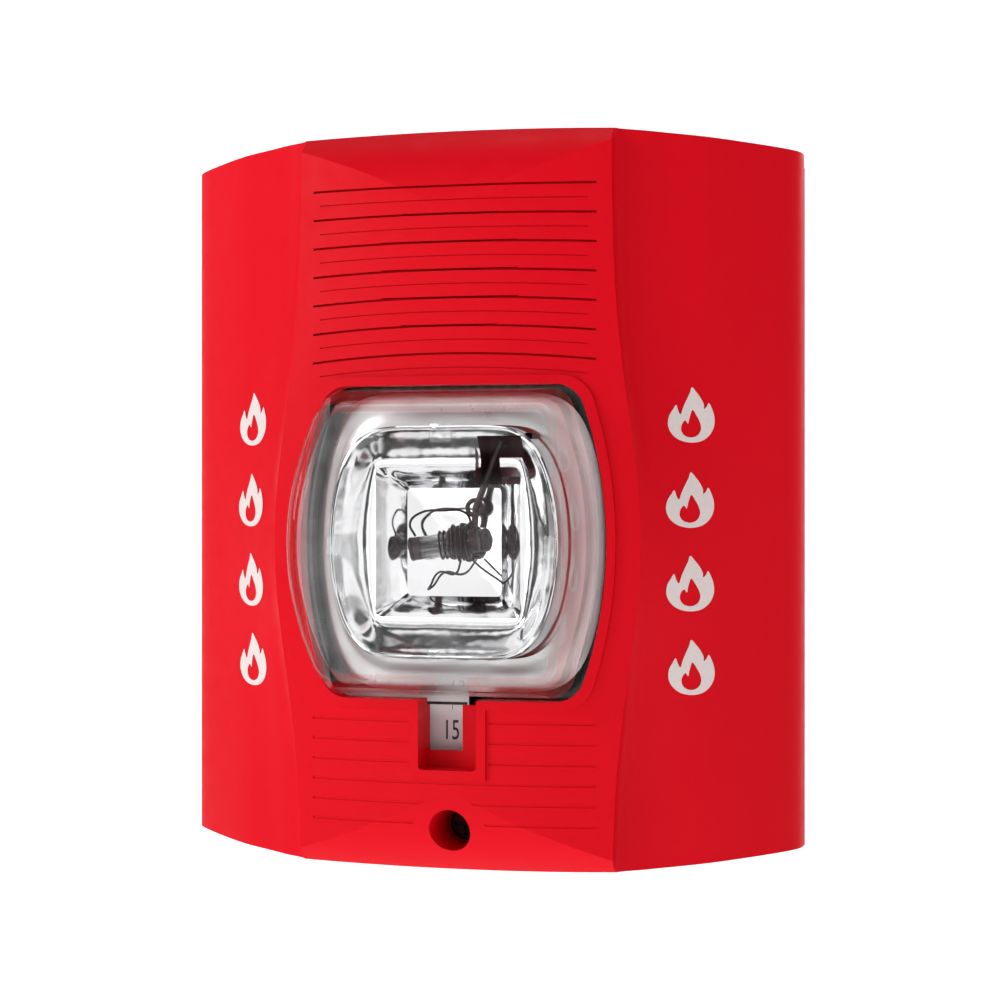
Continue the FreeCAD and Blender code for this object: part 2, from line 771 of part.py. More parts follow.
def storage_capacitor():
    return can(-24.0, BOARD_FRONT - 5.0, 22.0, 52.0, 4.9)


def boost_inductor():
    core = cyl_y(INDUCTOR_X, INDUCTOR_Z, 3.0, BOARD_FRONT, BOARD_FRONT - 8.5)
    plates = [
        cyl_y(INDUCTOR_X, INDUCTOR_Z, 5.0, BOARD_FRONT, BOARD_FRONT - 1.5),
        cyl_y(INDUCTOR_X, INDUCTOR_Z, 5.0, BOARD_FRONT - 7.0, BOARD_FRONT - 8.5),
    ]
    return join([core] + plates)


def inductor_winding():
    coil = cyl_y(INDUCTOR_X, INDUCTOR_Z, 4.6, BOARD_FRONT - 1.6, BOARD_FRONT - 6.9)
    return coil.cut(cyl_y(INDUCTOR_X, INDUCTOR_Z, 3.05, -40, 0))


def horn_transformer():
    core = box(18.2, 27.8, BOARD_FRONT - 1.0, BOARD_FRONT - 9.0, 26.0, 37.0)
    window = box(20.2, 25.8, -40, 0, 28.2, 34.8)
    return core.cut(window)


def transformer_winding():
    wound = box(20.4, 25.6, BOARD_FRONT - 1.0, BOARD_FRONT - 9.6, 28.4, 34.6)
    return wound.makeFillet(1.2, depth_edges(wound))


def trigger_coil():
    spool = cyl_y(20.0, -43.0, 3.4, BOARD_FRONT, BOARD_FRONT - 3.4)
    return join([spool, box(16.0, 24.0, BOARD_FRONT, BOARD_FRONT - 0.9, -47.0, -39.0)])


def control_chips():
    """Flat packages lying on the board behind the reflector."""
    chips = []
    for x, z, half_x, half_z in CHIPS:
        body = box(x - half_x, x + half_x, BOARD_FRONT - 0.2, BOARD_FRONT - 1.7, z - half_z, z + half_z)
        mark = cyl_y(x - half_x + 0.9, z + half_z - 0.9, 0.35, BOARD_FRONT - 1.55, BOARD_FRONT - 2)
        chips.append(body.cut(mark))
    return group(chips)


def chip_legs():
    legs = []
    for x, z, half_x, half_z in CHIPS:
        count = int(half_x / CHIP_LEG_PITCH) * 2
        for i in range(count):
            px = x + (i - (count - 1) / 2) * CHIP_LEG_PITCH
            for side in (-1, 1):
                edge = z + side * half_z
                legs.append(box(px - 0.2, px + 0.2, BOARD_FRONT, BOARD_FRONT - 0.3, edge, edge + side * 1.0))
    return group(legs)


def power_transistors():
    """Flat packages on the board, one for the strobe and one for the horn."""
    pieces = []
    for x, z in TRANSISTORS:
        pieces.append(box(x - 3.2, x + 3.2, BOARD_FRONT, BOARD_FRONT - 2.3, z - 3.0, z + 3.0))
    return group(pieces)


def small_resistors():
    pieces = []
    for i in range(RESISTORS):
        z = RESISTOR_TOP - i * RESISTOR_PITCH
        pieces.append(box(-33.0, -30.0, BOARD_FRONT, BOARD_FRONT - 0.6, z - 0.8, z + 0.8))
    return group(pieces)


def diodes():
    pieces = []
    for i in range(DIODES):
        z = DIODE_TOP - i * DIODE_PITCH
        pieces.append(cyl_x(BOARD_FRONT - 1.3, z, 1.25, -33.5, -29.0))
    return group(pieces)


def small_capacitors():
    pieces = []
    for x, z in SMALL_CAPACITORS:
        pieces.append(cyl_y(x, z, 2.6, BOARD_FRONT, BOARD_FRONT - 4.6))
    return group(pieces)


# ---------------------------------------------------------------- horn

def sound_chamber():
    cup = cyl_y(0, HORN_Z, HORN_R, HORN_FRONT, HORN_BACK)
    hollow = cyl_y(0, HORN_Z, HORN_R - 2.4, HORN_FRONT - 1, DISC_Y + 0.5)
    seat = cyl_y(0, HORN_Z, HORN_R - 1.2, DISC_Y - 0.05, DISC_Y + 0.5)
    port = cyl_y(0, HORN_Z, 3.0, DISC_Y, HORN_BACK + 1)
    cup = cup.cut([hollow, seat, port])
    feet = []
    for angle in (0, 120, 240):
        x = (HORN_R - 2.4) * math.sin(math.radians(angle))
        z = HORN_Z + (HORN_R - 2.4) * math.cos(math.radians(angle))
        feet.append(cyl_y(x, z, 1.6, HORN_BACK, BOARD_FRONT))
    return join([cup] + feet)


def piezo_disc():
    return cyl_y(0, HORN_Z, HORN_R - 1.3, DISC_Y, DISC_Y + 0.35)


def piezo_ceramic():
    return cyl_y(0, HORN_Z, 11.5, DISC_Y - 0.3, DISC_Y)


def horn_plate():
    """Tuning plate with a ring of small holes in front of the disc."""
    plate = cyl_y(0, HORN_Z, HORN_R - 2.5, DISC_Y - 3.4, DISC_Y - 2.4)
    holes = []
    for k in range(8):
        angle = math.radians(45 * k)
        holes.append(cyl_y(8 * math.sin(angle), HORN_Z + 8 * math.cos(angle), 1.4, -40, 0))
    return plate.cut(holes)


# ---------------------------------------------------------------- rear cover

def rear_cover():
    slab = box(-COVER_HALF, COVER_HALF, COVER_FRONT, COVER_BACK, COVER_LOW, COVER_TOP)
    slab = slab.makeFillet(4.0, depth_edges(slab))
    parts = [slab]
    for sx in (-1, 1):
        for sz in (-1, 1):
            parts.append(cyl_y(sx * POST_X, sz * POST_Z, 2.4, COVER_FRONT, BOARD_BACK))
    parts.append(box(-PIN_GUARD_X, PIN_GUARD_X, COVER_FRONT, BOARD_BACK, PIN_Z - 2.4, PIN_Z + 2.4))
    cuts = [leg_slot(-20, 0, 0.4)]
    half = KNOB_HALF + 0.4
    knob_end = LEG_X + CANDELA_TRAVEL + half
    cuts.append(box(LEG_X - half, knob_end, COVER_BACK - 0.6, 0, LEG_Z - half, LEG_Z + half))
    cuts.append(cyl_y(0, SCREW_Z, SCREW_BOSS_R + 0.4, -20, 0))
    cuts.append(cyl_y(TONE_X, TONE_Z, TONE_R + 0.4, -20, 0))
    for sx in (-1, 1):
        for sz in (-1, 1):
            x = sx * COVER_SCREW_X
            z = sz * COVER_SCREW_Z
            cuts.append(cyl_y(x, z, 1.5, -20, 0))
            cuts.append(cyl_y(x, z, 2.6, COVER_BACK - 1.0, 0))
    for x in pin_places():
        cuts.append(box(x - 0.6, x + 0.6, -20, 0, PIN_Z - 0.9, PIN_Z + 0.9))
    cover = join(parts).cut(cuts)
    ribs = []
    for x in (-30.0, 30.0):
        ribs.append(box(x - 0.6, x + 0.6, COVER_FRONT, COVER_FRONT - 1.6, -36.0, -12.0))
    return cover.fuse(ribs).removeSplitter()


def cover_screws():
    """Pan-head screws that hold the rear cover to the housing."""
    screws = []
    for sx in (-1, 1):
        for sz in (-1, 1):
            x = sx * COVER_SCREW_X
            z = sz * COVER_SCREW_Z
            head = cyl_y(x, z, 2.3, COVER_BACK - 1.0, COVER_BACK + 0.5)
            shank = cyl_y(x, z, 1.25, COVER_BACK - 1.0, COVER_FRONT - 6.0)
            cross = box(x - 1.4, x + 1.4, COVER_BACK - 0.3, 0, z - 0.3, z + 0.3)
            cross = cross.fuse(box(x - 0.3, x + 0.3, COVER_BACK - 0.3, 0, z - 1.4, z + 1.4))
            screws.append(join([head, shank]).cut(cross))
    return group(screws)


def contact_pins():
    pins = []
    for x in pin_places():
        blade = box(x - 0.4, x + 0.4, BOARD_FRONT - 0.6, -4.0, PIN_Z - 0.55, PIN_Z + 0.55)
        pins.append(blade)
    return group(pins)


def tone_switch():
    """Rotary switch body on the back of the board, with the well that its rotor turns in."""
    body = box(TONE_X - 6, TONE_X + 6, BOARD_BACK, COVER_FRONT - 0.3, TONE_Z - 6, TONE_Z + 6)
    return body.cut(cyl_y(TONE_X, TONE_Z, TONE_R + 0.08, BOARD_BACK + 0.6, 0))


def tone_rotor():
    knob = cyl_y(TONE_X, TONE_Z, TONE_R, BOARD_BACK + 0.7, COVER_BACK + 0.3)
    slot = box(TONE_X - 0.5, TONE_X + 0.5, COVER_BACK - 0.8, 0, TONE_Z - TONE_R + 0.7, TONE_Z + TONE_R - 0.7)
    arrow = box(TONE_X - 1.4, TONE_X + 1.4, COVER_BACK - 0.8, 0, TONE_Z + 1.0, TONE_Z + 1.8)
    return knob.cut([slot, arrow])


# ---------------------------------------------------------------- mounting screw

def mounting_screw():
    head = cyl_y(0, SCREW_Z, SCREW_HEAD_R, SCREW_FLOOR - 2.4, SCREW_FLOOR - 0.1)
    head = head.makeFillet(0.9, [e for e in head.Edges if abs(e.CenterOfMass.y - (SCREW_FLOOR - 2.4)) < 0.01])
    shank = cyl_y(0, SCREW_Z, CORE_R, SCREW_FLOOR - 0.2, SCREW_TIP)
    threads = []
    flank = THREAD_PITCH / 2
    for k in range(THREADS):
        y = SCREW_TIP - THREAD_PITCH * (k + 1)
        threads.append(Part.makeCone(CORE_R, SCREW_R, flank, V(0, y, SCREW_Z), V(0, -1, 0)))
        threads.append(Part.makeCone(SCREW_R, CORE_R, flank, V(0, y - flank, SCREW_Z), V(0, -1, 0)))
    slot = box(-2.2, 2.2, SCREW_FLOOR - 3, SCREW_FLOOR - 1.4, SCREW_Z - 0.4, SCREW_Z + 0.4)
    cross = box(-0.4, 0.4, SCREW_FLOOR - 3, SCREW_FLOOR - 1.4, SCREW_Z - 2.2, SCREW_Z + 2.2)
    return join([head, shank] + threads).cut([slot, cross])


def screw_retainer():
    ring = cyl_y(0, SCREW_Z, SCREW_R + 1.5, -11.0, -10.2)
    return ring.cut(cyl_y(0, SCREW_Z, SCREW_R + 0.02, -20, 0))


# ---------------------------------------------------------------- mounting plate

def box_holes():
    """Round holes for single and double wall boxes."""
    holes = []
    rows = (-BOX_SPACING_Z / 2, BOX_SPACING_Z / 2)
    for z in rows:
        for x in (-BOX_SPACING_X / 2, 0, BOX_SPACING_X / 2):
            holes.append(cyl_y(x, z, BOX_HOLE_R, -8, 2))
    return holes


def hooks():
    """Two hooks that the front's hinge bars drop into."""
    gap = 0.35
    pieces = []
    for side in (-1, 1):
        x = side * HOOK_X
        x0 = x - HOOK_HALF
        x1 = x + HOOK_HALF
        low = HINGE_Z - HINGE_R - gap - 1.2
        front = HINGE_Y - HINGE_R - gap - 1.2
        arm = box(x0, x1, 0, front, low, low + 1.2)
        lip = box(x0, x1, front, front + 1.2, low, HINGE_Z + 0.8)
        root = box(x0, x1, 0, -PLATE_THICK, PLATE_HALF_Z - 1, low + 1.2)
        pieces += [arm, lip, root]
    return pieces


def mounting_plate():
    slab = box(-PLATE_HALF_X, PLATE_HALF_X, 0, -PLATE_THICK, -PLATE_HALF_Z, PLATE_HALF_Z)
    slab = slab.makeFillet(PLATE_CORNER, depth_edges(slab))
    rim = box(-PLATE_HALF_X, PLATE_HALF_X, 0, PLATE_RIM_Y, -PLATE_HALF_Z, PLATE_HALF_Z)
    rim = rim.makeFillet(PLATE_CORNER, depth_edges(rim))
    inner_x = PLATE_HALF_X - PLATE_RIM
    inner_z = PLATE_HALF_Z - PLATE_RIM
    inner = box(-inner_x, inner_x, 1, -9, -inner_z, inner_z)
    inner = inner.makeFillet(PLATE_CORNER - PLATE_RIM, depth_edges(inner))
    tab = box(-7, 7, 0, -PLATE_THICK, SCREW_Z - 4.4, -PLATE_HALF_Z + 5)
    nut_boss = cyl_y(0, SCREW_Z, 4.2, 0, -7.0)
    block = box(-20.5, 20.5, 0, -3.4, TERMINAL_Z - 7.5, TERMINAL_Z + 7.5)
    solid = join([slab, rim.cut(inner), tab, nut_boss, block] + hooks())
    cuts = box_holes()
    cuts.append(cyl_y(0, SCREW_Z, SCREW_R + 0.2, -9, 2))
    wires = box(-17, 17, -9, 2, -15, 28)
    cuts.append(wires.makeFillet(4.0, depth_edges(wires)))
    for x in pin_places():
        cuts.append(box(x - 1.1, x + 1.1, -9, -2.4, PIN_Z - 1.6, PIN_Z + 1.6))
    for x in (-SURFACE_HOLE_X, SURFACE_HOLE_X):
        for z in (-SURFACE_HOLE_Z, SURFACE_HOLE_Z):
            cuts.append(cyl_y(x, z, SURFACE_HOLE_R, -8, 2))
    return solid.cut(cuts)


def terminal_block():
    """Insulating block with one open bay for each wire and a slot for each contact pin."""
    body = box(-20, 20, -3.4, TERMINAL_TOP, TERMINAL_Z - 7, TERMINAL_Z + 7)
    cuts = []
    for x in pin_places():
        cuts.append(box(x - 3.8, x + 3.8, -4.6, -12, TERMINAL_Z - 8, TERMINAL_Z + 1.5))
        cuts.append(box(x - 1.1, x + 1.1, 0, -12, PIN_Z - 1.6, PIN_Z + 1.6))
    return body.cut(cuts)


def terminal_clamps():
    """Brass seats and pressure plates, one pair for each wire."""
    clamps = []
    for x in pin_places():
        seat = box(x - 3.4, x + 3.4, -4.6, -5.4, TERMINAL_Z - 6.4, TERMINAL_Z + 1.3)
        clamps.append(seat.cut(cyl_y(x, TERMINAL_Z - 2.6, 1.3, -12, 0)))
    return group(clamps)


def terminal_screws():
    screws = []
    for x in pin_places():
        head = cyl_y(x, TERMINAL_Z - 2.6, 2.7, -6.2, -7.8)
        shank = cyl_y(x, TERMINAL_Z - 2.6, 1.2, -4.7, -6.3)
        slot = box(x - 3, x + 3, -7.2, -9, TERMINAL_Z - 3.0, TERMINAL_Z - 2.2)
        screws.append(join([head, shank]).cut(slot))
    return group(screws)


def terminal_washers():
    washers = []
    for x in pin_places():
        plate = box(x - 3.0, x + 3.0, -5.5, -6.1, TERMINAL_Z - 5.6, TERMINAL_Z + 0.4)
        washers.append(plate.cut(cyl_y(x, TERMINAL_Z - 2.6, 1.3, -12, 0)))
    return group(washers)


def terminal_sockets():
    """Spring contacts either side of each pin slot."""
    leaves = []
    for x in pin_places():
        for side in (-1, 1):
            near = x + side * 0.75
            far = x + side * 1.05
            leaves.append(box(near, far, -3.5, -7.9, PIN_Z - 1.4, PIN_Z + 1.4))
    return group(leaves)


NODES = {
    "front_housing": front_housing,
    "strobe_lens": strobe_lens,
    "reflector": reflector,
    "flash_tube": flash_tube,
    "tube_electrodes": tube_electrodes,
    "tube_leads": tube_leads,
    "trigger_wire": trigger_wire,
    "candela_slider": candela_slider,
    "candela_label": candela_label,
    "candela_switch": candela_switch,
    "circuit_board": circuit_board,
    "storage_capacitor": storage_capacitor,
    "boost_inductor": boost_inductor,
    "inductor_winding": inductor_winding,
    "horn_transformer": horn_transformer,
    "transformer_winding": transformer_winding,
    "trigger_coil": trigger_coil,
    "control_chips": control_chips,
    "chip_legs": chip_legs,
    "power_transistors": power_transistors,
    "small_resistors": small_resistors,
    "diodes": diodes,
    "small_capacitors": small_capacitors,
    "sound_chamber": sound_chamber,
    "piezo_disc": piezo_disc,
    "piezo_ceramic": piezo_ceramic,
    "horn_plate": horn_plate,
    "rear_cover": rear_cover,
    "cover_screws": cover_screws,
    "contact_pins": contact_pins,
    "tone_switch": tone_switch,
    "tone_rotor": tone_rotor,
    "mounting_screw": mounting_screw,
    "screw_retainer": screw_retainer,
    "mounting_plate": mounting_plate,
    "terminal_block": terminal_block,
    "terminal_clamps": terminal_clamps,
    "terminal_screws": terminal_screws,
    "terminal_washers": terminal_washers,
    "terminal_sockets": terminal_sockets,
}


def main():
    os.makedirs("parts", exist_ok=True)
    for name, make in NODES.items():
        save(name, make())


if __name__ == "__main__":
    main()
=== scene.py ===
import json
import math

import bmesh
import bpy
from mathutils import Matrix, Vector
from mathutils.bvhtree import BVHTree


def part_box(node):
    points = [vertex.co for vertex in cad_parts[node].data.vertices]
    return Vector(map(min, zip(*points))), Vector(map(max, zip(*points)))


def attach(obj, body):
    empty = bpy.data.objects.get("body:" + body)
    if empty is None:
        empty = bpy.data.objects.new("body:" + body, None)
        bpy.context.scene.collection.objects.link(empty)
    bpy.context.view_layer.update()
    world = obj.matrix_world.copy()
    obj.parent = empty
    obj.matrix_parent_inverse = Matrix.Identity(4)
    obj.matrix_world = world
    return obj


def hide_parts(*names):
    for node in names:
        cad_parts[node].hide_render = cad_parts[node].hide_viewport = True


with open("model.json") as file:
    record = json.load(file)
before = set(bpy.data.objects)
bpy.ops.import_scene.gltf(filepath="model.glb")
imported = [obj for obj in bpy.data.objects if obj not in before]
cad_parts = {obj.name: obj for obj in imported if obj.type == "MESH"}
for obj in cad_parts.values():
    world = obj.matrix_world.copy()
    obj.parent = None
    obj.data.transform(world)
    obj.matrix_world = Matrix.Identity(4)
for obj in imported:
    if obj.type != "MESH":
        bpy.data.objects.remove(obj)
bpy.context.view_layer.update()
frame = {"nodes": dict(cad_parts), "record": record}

NODES = frame["nodes"]
MM = 0.001

# The candela label's box, read from the frame
LABEL_LOW, LABEL_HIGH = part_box("candela_label")


# ---------------------------------------------------------------- materials

# Sockets of the colour Mix node, which share their names and so are taken by number
MIX_FACTOR, MIX_FIRST, MIX_SECOND = 0, 6, 7
MIX_RESULT = 2


class Nodes:
    """Small helper that adds and links shader nodes."""

    def __init__(self, name):
        self.material = bpy.data.materials.new(name)
        self.material.use_nodes = True
        self.tree = self.material.node_tree
        self.shader = self.tree.nodes["Principled BSDF"]
        self.coords = self.tree.nodes.new("ShaderNodeTexCoord").outputs["Object"]

    def add(self, kind, **inputs):
        node = self.tree.nodes.new(kind)
        for name, value in inputs.items():
            self.set(node, name.replace("_", " "), value)
        return node

    def set(self, node, name, value):
        socket = node.inputs[name]
        if isinstance(value, bpy.types.NodeSocket):
            self.tree.links.new(value, socket)
        else:
            socket.default_value = value

    def shade(self, **inputs):
        for name, value in inputs.items():
            self.set(self.shader, name.replace("_", " "), value)

    def noise(self, scale, detail=2.0, roughness=0.5):
        node = self.add("ShaderNodeTexNoise", Vector=self.coords, Scale=scale, Detail=detail,
                        Roughness=roughness)
        return node.outputs["Fac"]

    def stretched_noise(self, scale, stretch, detail=2.0):
        mapping = self.add("ShaderNodeMapping", Vector=self.coords, Scale=stretch)
        node = self.add("ShaderNodeTexNoise", Vector=mapping.outputs["Vector"], Scale=scale, Detail=detail)
        return node.outputs["Fac"]

    def span(self, value, low, high, source=(0.0, 1.0)):
        node = self.add("ShaderNodeMapRange", Value=value)
        for name, number in zip(("From Min", "From Max", "To Min", "To Max"), (*source, low, high)):
            node.inputs[name].default_value = number
        return node.outputs["Result"]

    def blend(self, factor, first, second):
        node = self.tree.nodes.new("ShaderNodeMix")
        node.data_type = "RGBA"
        self.set(node, MIX_FACTOR, factor)
        self.set(node, MIX_FIRST, first)
        self.set(node, MIX_SECOND, second)
        return node.outputs[MIX_RESULT]

    def bump(self, height, distance, strength=1.0, normal=None):
        node = self.add("ShaderNodeBump", Height=height, Distance=distance, Strength=strength)
        if normal is not None:
            self.set(node, "Normal", normal)
        return node.outputs["Normal"]


def toned(colour, factor):
    """A darker tone of the colour, and the colour itself, both with alpha."""
    return tuple(c * factor for c in colour) + (1,), tuple(colour) + (1,)


def moulded(name, colour, rough=0.45, grain=0.02):
    """Moulded plastic: fine spark texture (grain in mm), slow waviness, slight changes of tone and gloss."""
    n = Nodes(name)
    n.shade(Base_Color=n.blend(n.noise(60.0, 3.0), *toned(colour, 0.88)))
    n.shade(Roughness=n.span(n.noise(140.0, 4.0), rough - 0.06, rough + 0.08, (0.3, 0.7)))
    wave = n.bump(n.noise(55.0, 1.0), 0.00012, 0.25)
    n.shade(Normal=n.bump(n.noise(3600.0, 2.0), grain * MM, 0.6, wave), IOR=1.5)
    return n.material


def metal(name, colour, rough=0.3, stretch=(1, 1, 12)):
    """Plated or drawn metal with fine lines along the stretch and soft stains."""
    n = Nodes(name)
    n.shade(Base_Color=n.blend(n.noise(180.0, 4.0), *toned(colour, 0.72)), Metallic=1.0)
    lines = n.stretched_noise(500.0, stretch, 3.0)
    n.shade(Roughness=n.span(lines, rough - 0.08, rough + 0.12, (0.3, 0.7)))
    n.shade(Normal=n.bump(lines, 0.00002, 0.4))
    return n.material


def dark_wire(name, colour, rough=0.38):
    """Oxidised wire or cap: nearly black with a dull sheen and small stains."""
    n = Nodes(name)
    n.shade(Base_Color=n.blend(n.noise(700.0, 3.0), *toned(colour, 0.5)), Metallic=0.25)
    n.shade(Roughness=n.span(n.noise(900.0, 3.0), rough - 0.1, rough + 0.12, (0.3, 0.7)))
    n.shade(Normal=n.bump(n.noise(1500.0, 2.0), 0.00003, 0.5), Specular_IOR_Level=0.35)
    return n.material


def satin_flange():
    """The bowl's flat flange: the same coating on a coarser surface, so it is duller than the dish."""
    n = Nodes("satin_flange")
    tone = n.blend(n.noise(70.0, 3.0), (0.50, 0.48, 0.48, 1), (0.72, 0.70, 0.70, 1))
    n.shade(Base_Color=tone, Metallic=1.0)
    n.shade(Roughness=n.span(n.noise(160.0, 4.0), 0.26, 0.42, (0.3, 0.7)))
    n.shade(Normal=n.bump(n.noise(240.0, 2.0), 0.0001, 0.5))
    return n.material


def red_housing():
    """Red moulded shell: satin, with a very fine spark grain and faint flow marks."""
    n = Nodes("red_housing")
    tone = n.blend(n.noise(22.0, 2.0), (0.72, 0.0010, 0.009, 1), (0.79, 0.0016, 0.012, 1))
    n.shade(Base_Color=tone)
    n.shade(Roughness=n.span(n.noise(260.0, 4.0), 0.36, 0.5, (0.3, 0.7)))
    flow = n.bump(n.stretched_noise(26.0, (1, 1, 0.4), 1.0), 0.0002, 0.16)
    n.shade(Normal=n.bump(n.noise(3800.0, 2.0), 0.000012, 0.35, flow))
    n.shade(IOR=1.45, Specular_IOR_Level=0.11)
    return n.material


def clear_plastic(name="clear_lens", base=0.014, edge=0.66, power=0.24, rough=0.03):
    """Clear moulded plastic: see-through face on, brighter and more solid where it is seen at a slant.

    base and edge are its alpha face on and edge on; power sets how early it turns solid.
    """
    n = Nodes(name)
    facing = n.add("ShaderNodeLayerWeight", Blend=power).outputs["Facing"]
    n.shade(Base_Color=(0.95, 0.96, 0.97, 1), Metallic=1.0)
    n.shade(Roughness=n.span(n.noise(300.0, 3.0), rough * 0.7, rough * 1.4, (0.3, 0.7)))
    n.shade(Alpha=n.span(facing, base, edge, (0.15, 1.0)))
    n.shade(Normal=n.bump(n.noise(70.0, 1.0), 0.00005, 0.2))
    return n.material


def bright_bowl():
    """Vacuum-metallised plastic: near-mirror with slight waviness and a few dull patches."""
    n = Nodes("mirror_bowl")
    tone = n.blend(n.noise(90.0, 3.0), (0.84, 0.84, 0.85, 1), (0.96, 0.96, 0.97, 1))
    n.shade(Base_Color=tone, Metallic=1.0)
    n.shade(Roughness=n.span(n.noise(150.0, 4.0), 0.05, 0.13, (0.35, 0.65)))
    n.shade(Normal=n.bump(n.noise(150.0, 2.0), 0.00035, 0.5))
    return n.material


def board_mask():
    """Solder mask over copper: darker field with slightly raised, lighter tracks."""
    n = Nodes("board_green")
    tracks = n.add("ShaderNodeTexWave", Vector=n.coords, Scale=110.0, Distortion=9.0, Detail_Scale=0.6)
    band = n.span(tracks.outputs["Fac"], 0.0, 1.0, (0.62, 0.70))
    n.shade(Base_Color=n.blend(band, (0.010, 0.055, 0.022, 1), (0.018, 0.10, 0.04, 1)))
    n.shade(Roughness=n.span(n.noise(400.0), 0.25, 0.4), Normal=n.bump(band, 0.00004, 0.5))
    return n.material


def wound_copper():
    """Enamelled wire laid in even turns, with painted shade in the grooves between turns and a painted
    highlight on their crowns.
    """
    n = Nodes("copper")
    turns = n.add("ShaderNodeTexWave", Vector=n.coords, Scale=700.0, Distortion=0.4)
    turns.bands_direction = "Y"
    # Painted shade and highlight: the colour runs dark in the grooves between turns and bright on their
    # crowns.
    tone = n.blend(turns.outputs["Fac"], (0.28, 0.09, 0.03, 1), (0.78, 0.34, 0.14, 1))
    n.shade(Base_Color=tone, Metallic=0.8)
    n.shade(Roughness=0.32, Normal=n.bump(turns.outputs["Fac"], 0.00012, 0.8))
    return n.material


def sleeve():
    """Shrunk sleeve of a capacitor, dark blue with a paler stripe and faint wrinkles."""
    n = Nodes("can_sleeve")
    stripe = n.add("ShaderNodeTexWave", Vector=n.coords, Scale=16.0, Distortion=0.0)
    band = n.span(stripe.outputs["Fac"], 0.0, 1.0, (0.9, 0.93))
    n.shade(Base_Color=n.blend(band, (0.012, 0.02, 0.07, 1), (0.45, 0.47, 0.5, 1)))
    n.shade(Roughness=n.span(n.noise(200.0), 0.22, 0.4), Normal=n.bump(n.noise(350.0), 0.00008, 0.4))
    return n.material


def printed_paper():
    """Printed film label: off-white, fine fibre, slightly warmer at places."""
    n = Nodes("label_white")
    n.shade(Base_Color=n.blend(n.noise(160.0, 4.0), (0.95, 0.93, 0.92, 1), (0.99, 0.98, 0.97, 1)))
    n.shade(Roughness=n.span(n.noise(900.0), 0.45, 0.65), Normal=n.bump(n.noise(2500.0), 0.00001, 0.5))
    return n.material


def ink(name, colour, rough=0.5):
    """Screen-printed ink with a little thinning and pinholes in its gloss."""
    n = Nodes(name)
    n.shade(Base_Color=n.blend(n.noise(1400.0, 3.0), *toned(colour, 0.9)))
    n.shade(Roughness=n.span(n.noise(900.0), rough - 0.08, rough + 0.1))
    n.shade(Normal=n.bump(n.noise(3000.0), 0.00001, 0.5))
    return n.material


def fired_ceramic(name, low, high):
    """Sintered or silvered ceramic with a matt speckle."""
    n = Nodes(name)
    n.shade(Base_Color=n.blend(n.noise(900.0, 5.0, 0.7), low, high))
    n.shade(Roughness=n.span(n.noise(700.0), 0.5, 0.75), Normal=n.bump(n.noise(1800.0), 0.00002, 0.6))
    return n.material


def slot_materials():
    """One material for each slot of the record."""
    black = (0.022, 0.022, 0.024)
    return {
        "red_housing": red_housing(),
        "clear_lens": clear_plastic(),
        "mirror_bowl": bright_bowl(),
        "tube_glass": clear_plastic("tube_glass", 0.10, 0.8, 0.35, 0.03),
        "lead_metal": dark_wire("lead_metal", (0.075, 0.045, 0.048), 0.34),
        "trigger_metal": dark_wire("trigger_metal", (0.032, 0.012, 0.015)),
        "slider_plastic": moulded("slider_plastic", black, 0.5),
        "label_white": printed_paper(),
        "switch_black": moulded("switch_black", black, 0.42),
        "board_green": board_mask(),
        "can_sleeve": sleeve(),
        "ferrite": fired_ceramic("ferrite", (0.02, 0.02, 0.022, 1), (0.07, 0.07, 0.075, 1)),
        "copper": wound_copper(),
        "chip_black": moulded("chip_black", (0.018, 0.018, 0.02), 0.55, 0.03),
        "tin": metal("tin", (0.75, 0.75, 0.73), 0.28),
        "resistor_dark": fired_ceramic("resistor_dark", (0.02, 0.02, 0.025, 1), (0.05, 0.05, 0.06, 1)),
        "horn_black": moulded("horn_black", (0.03, 0.03, 0.032), 0.5),
        "brass_disc": metal("brass_disc", (0.80, 0.60, 0.28), 0.26, (1, 1, 20)),
        "piezo_white": fired_ceramic("piezo_white", (0.62, 0.61, 0.57, 1), (0.82, 0.81, 0.77, 1)),
        "cover_plastic": moulded("cover_plastic", (0.045, 0.045, 0.048), 0.5, 0.03),
        "screw_dark": metal("screw_dark", (0.035, 0.018, 0.018), 0.5),
        "steel_zinc": metal("steel_zinc", (0.62, 0.63, 0.65), 0.3, (1, 12, 1)),
        "contact_brass": metal("contact_brass", (0.80, 0.64, 0.30), 0.25),
        "rotor_white": moulded("rotor_white", (0.78, 0.78, 0.75), 0.45),
        "plate_plastic": moulded("plate_plastic", (0.06, 0.06, 0.063), 0.55, 0.03),
        "terminal_black": moulded("terminal_black", black, 0.45),
    }


MATERIALS = slot_materials()
INK_BLACK = ink("ink_black", (0.03, 0.02, 0.022))
INK_WHITE = ink("ink_white", (0.86, 0.74, 0.72), 0.45)
# Painted shade: the well behind the lead openings is coloured a dark red that stands for the shadow inside it.
SOCKET_PAINTED_SHADE = moulded("socket", (0.085, 0.012, 0.018), 0.5)
CLIP_CLEAR = clear_plastic("clip", 0.12, 0.45, 0.3, 0.1)


def dress_frame():
    """Gives every CAD node the material of its slot."""
    for row in frame["record"]["subparts"]:
        mesh = NODES[row["node"]].data
        mesh.materials.clear()
        mesh.materials.append(MATERIALS[row["material_slot"]])


# ---------------------------------------------------------------- mesh helpers

WIRE_SMOOTH = 50


def finish_piece(obj, body, slot, material=None):
    """Places a new piece on its body, with the material of its slot or the given one."""
    obj.data.materials.clear()
    obj.data.materials.append(material or MATERIALS[slot])
    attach(obj, body)
    return obj


def new_object(name, mesh):
    obj = bpy.data.objects.new(name, mesh)
    bpy.context.scene.collection.objects.link(obj)
    return obj


def mesh_object(name, verts, faces, smooth_angle=None):
    mesh = bpy.data.meshes.new(name)
    mesh.from_pydata([tuple(v) for v in verts], [], faces)
    mesh.update()
    obj = new_object(name, mesh)
    if smooth_angle is not None:
        smooth(obj, smooth_angle)
    return obj


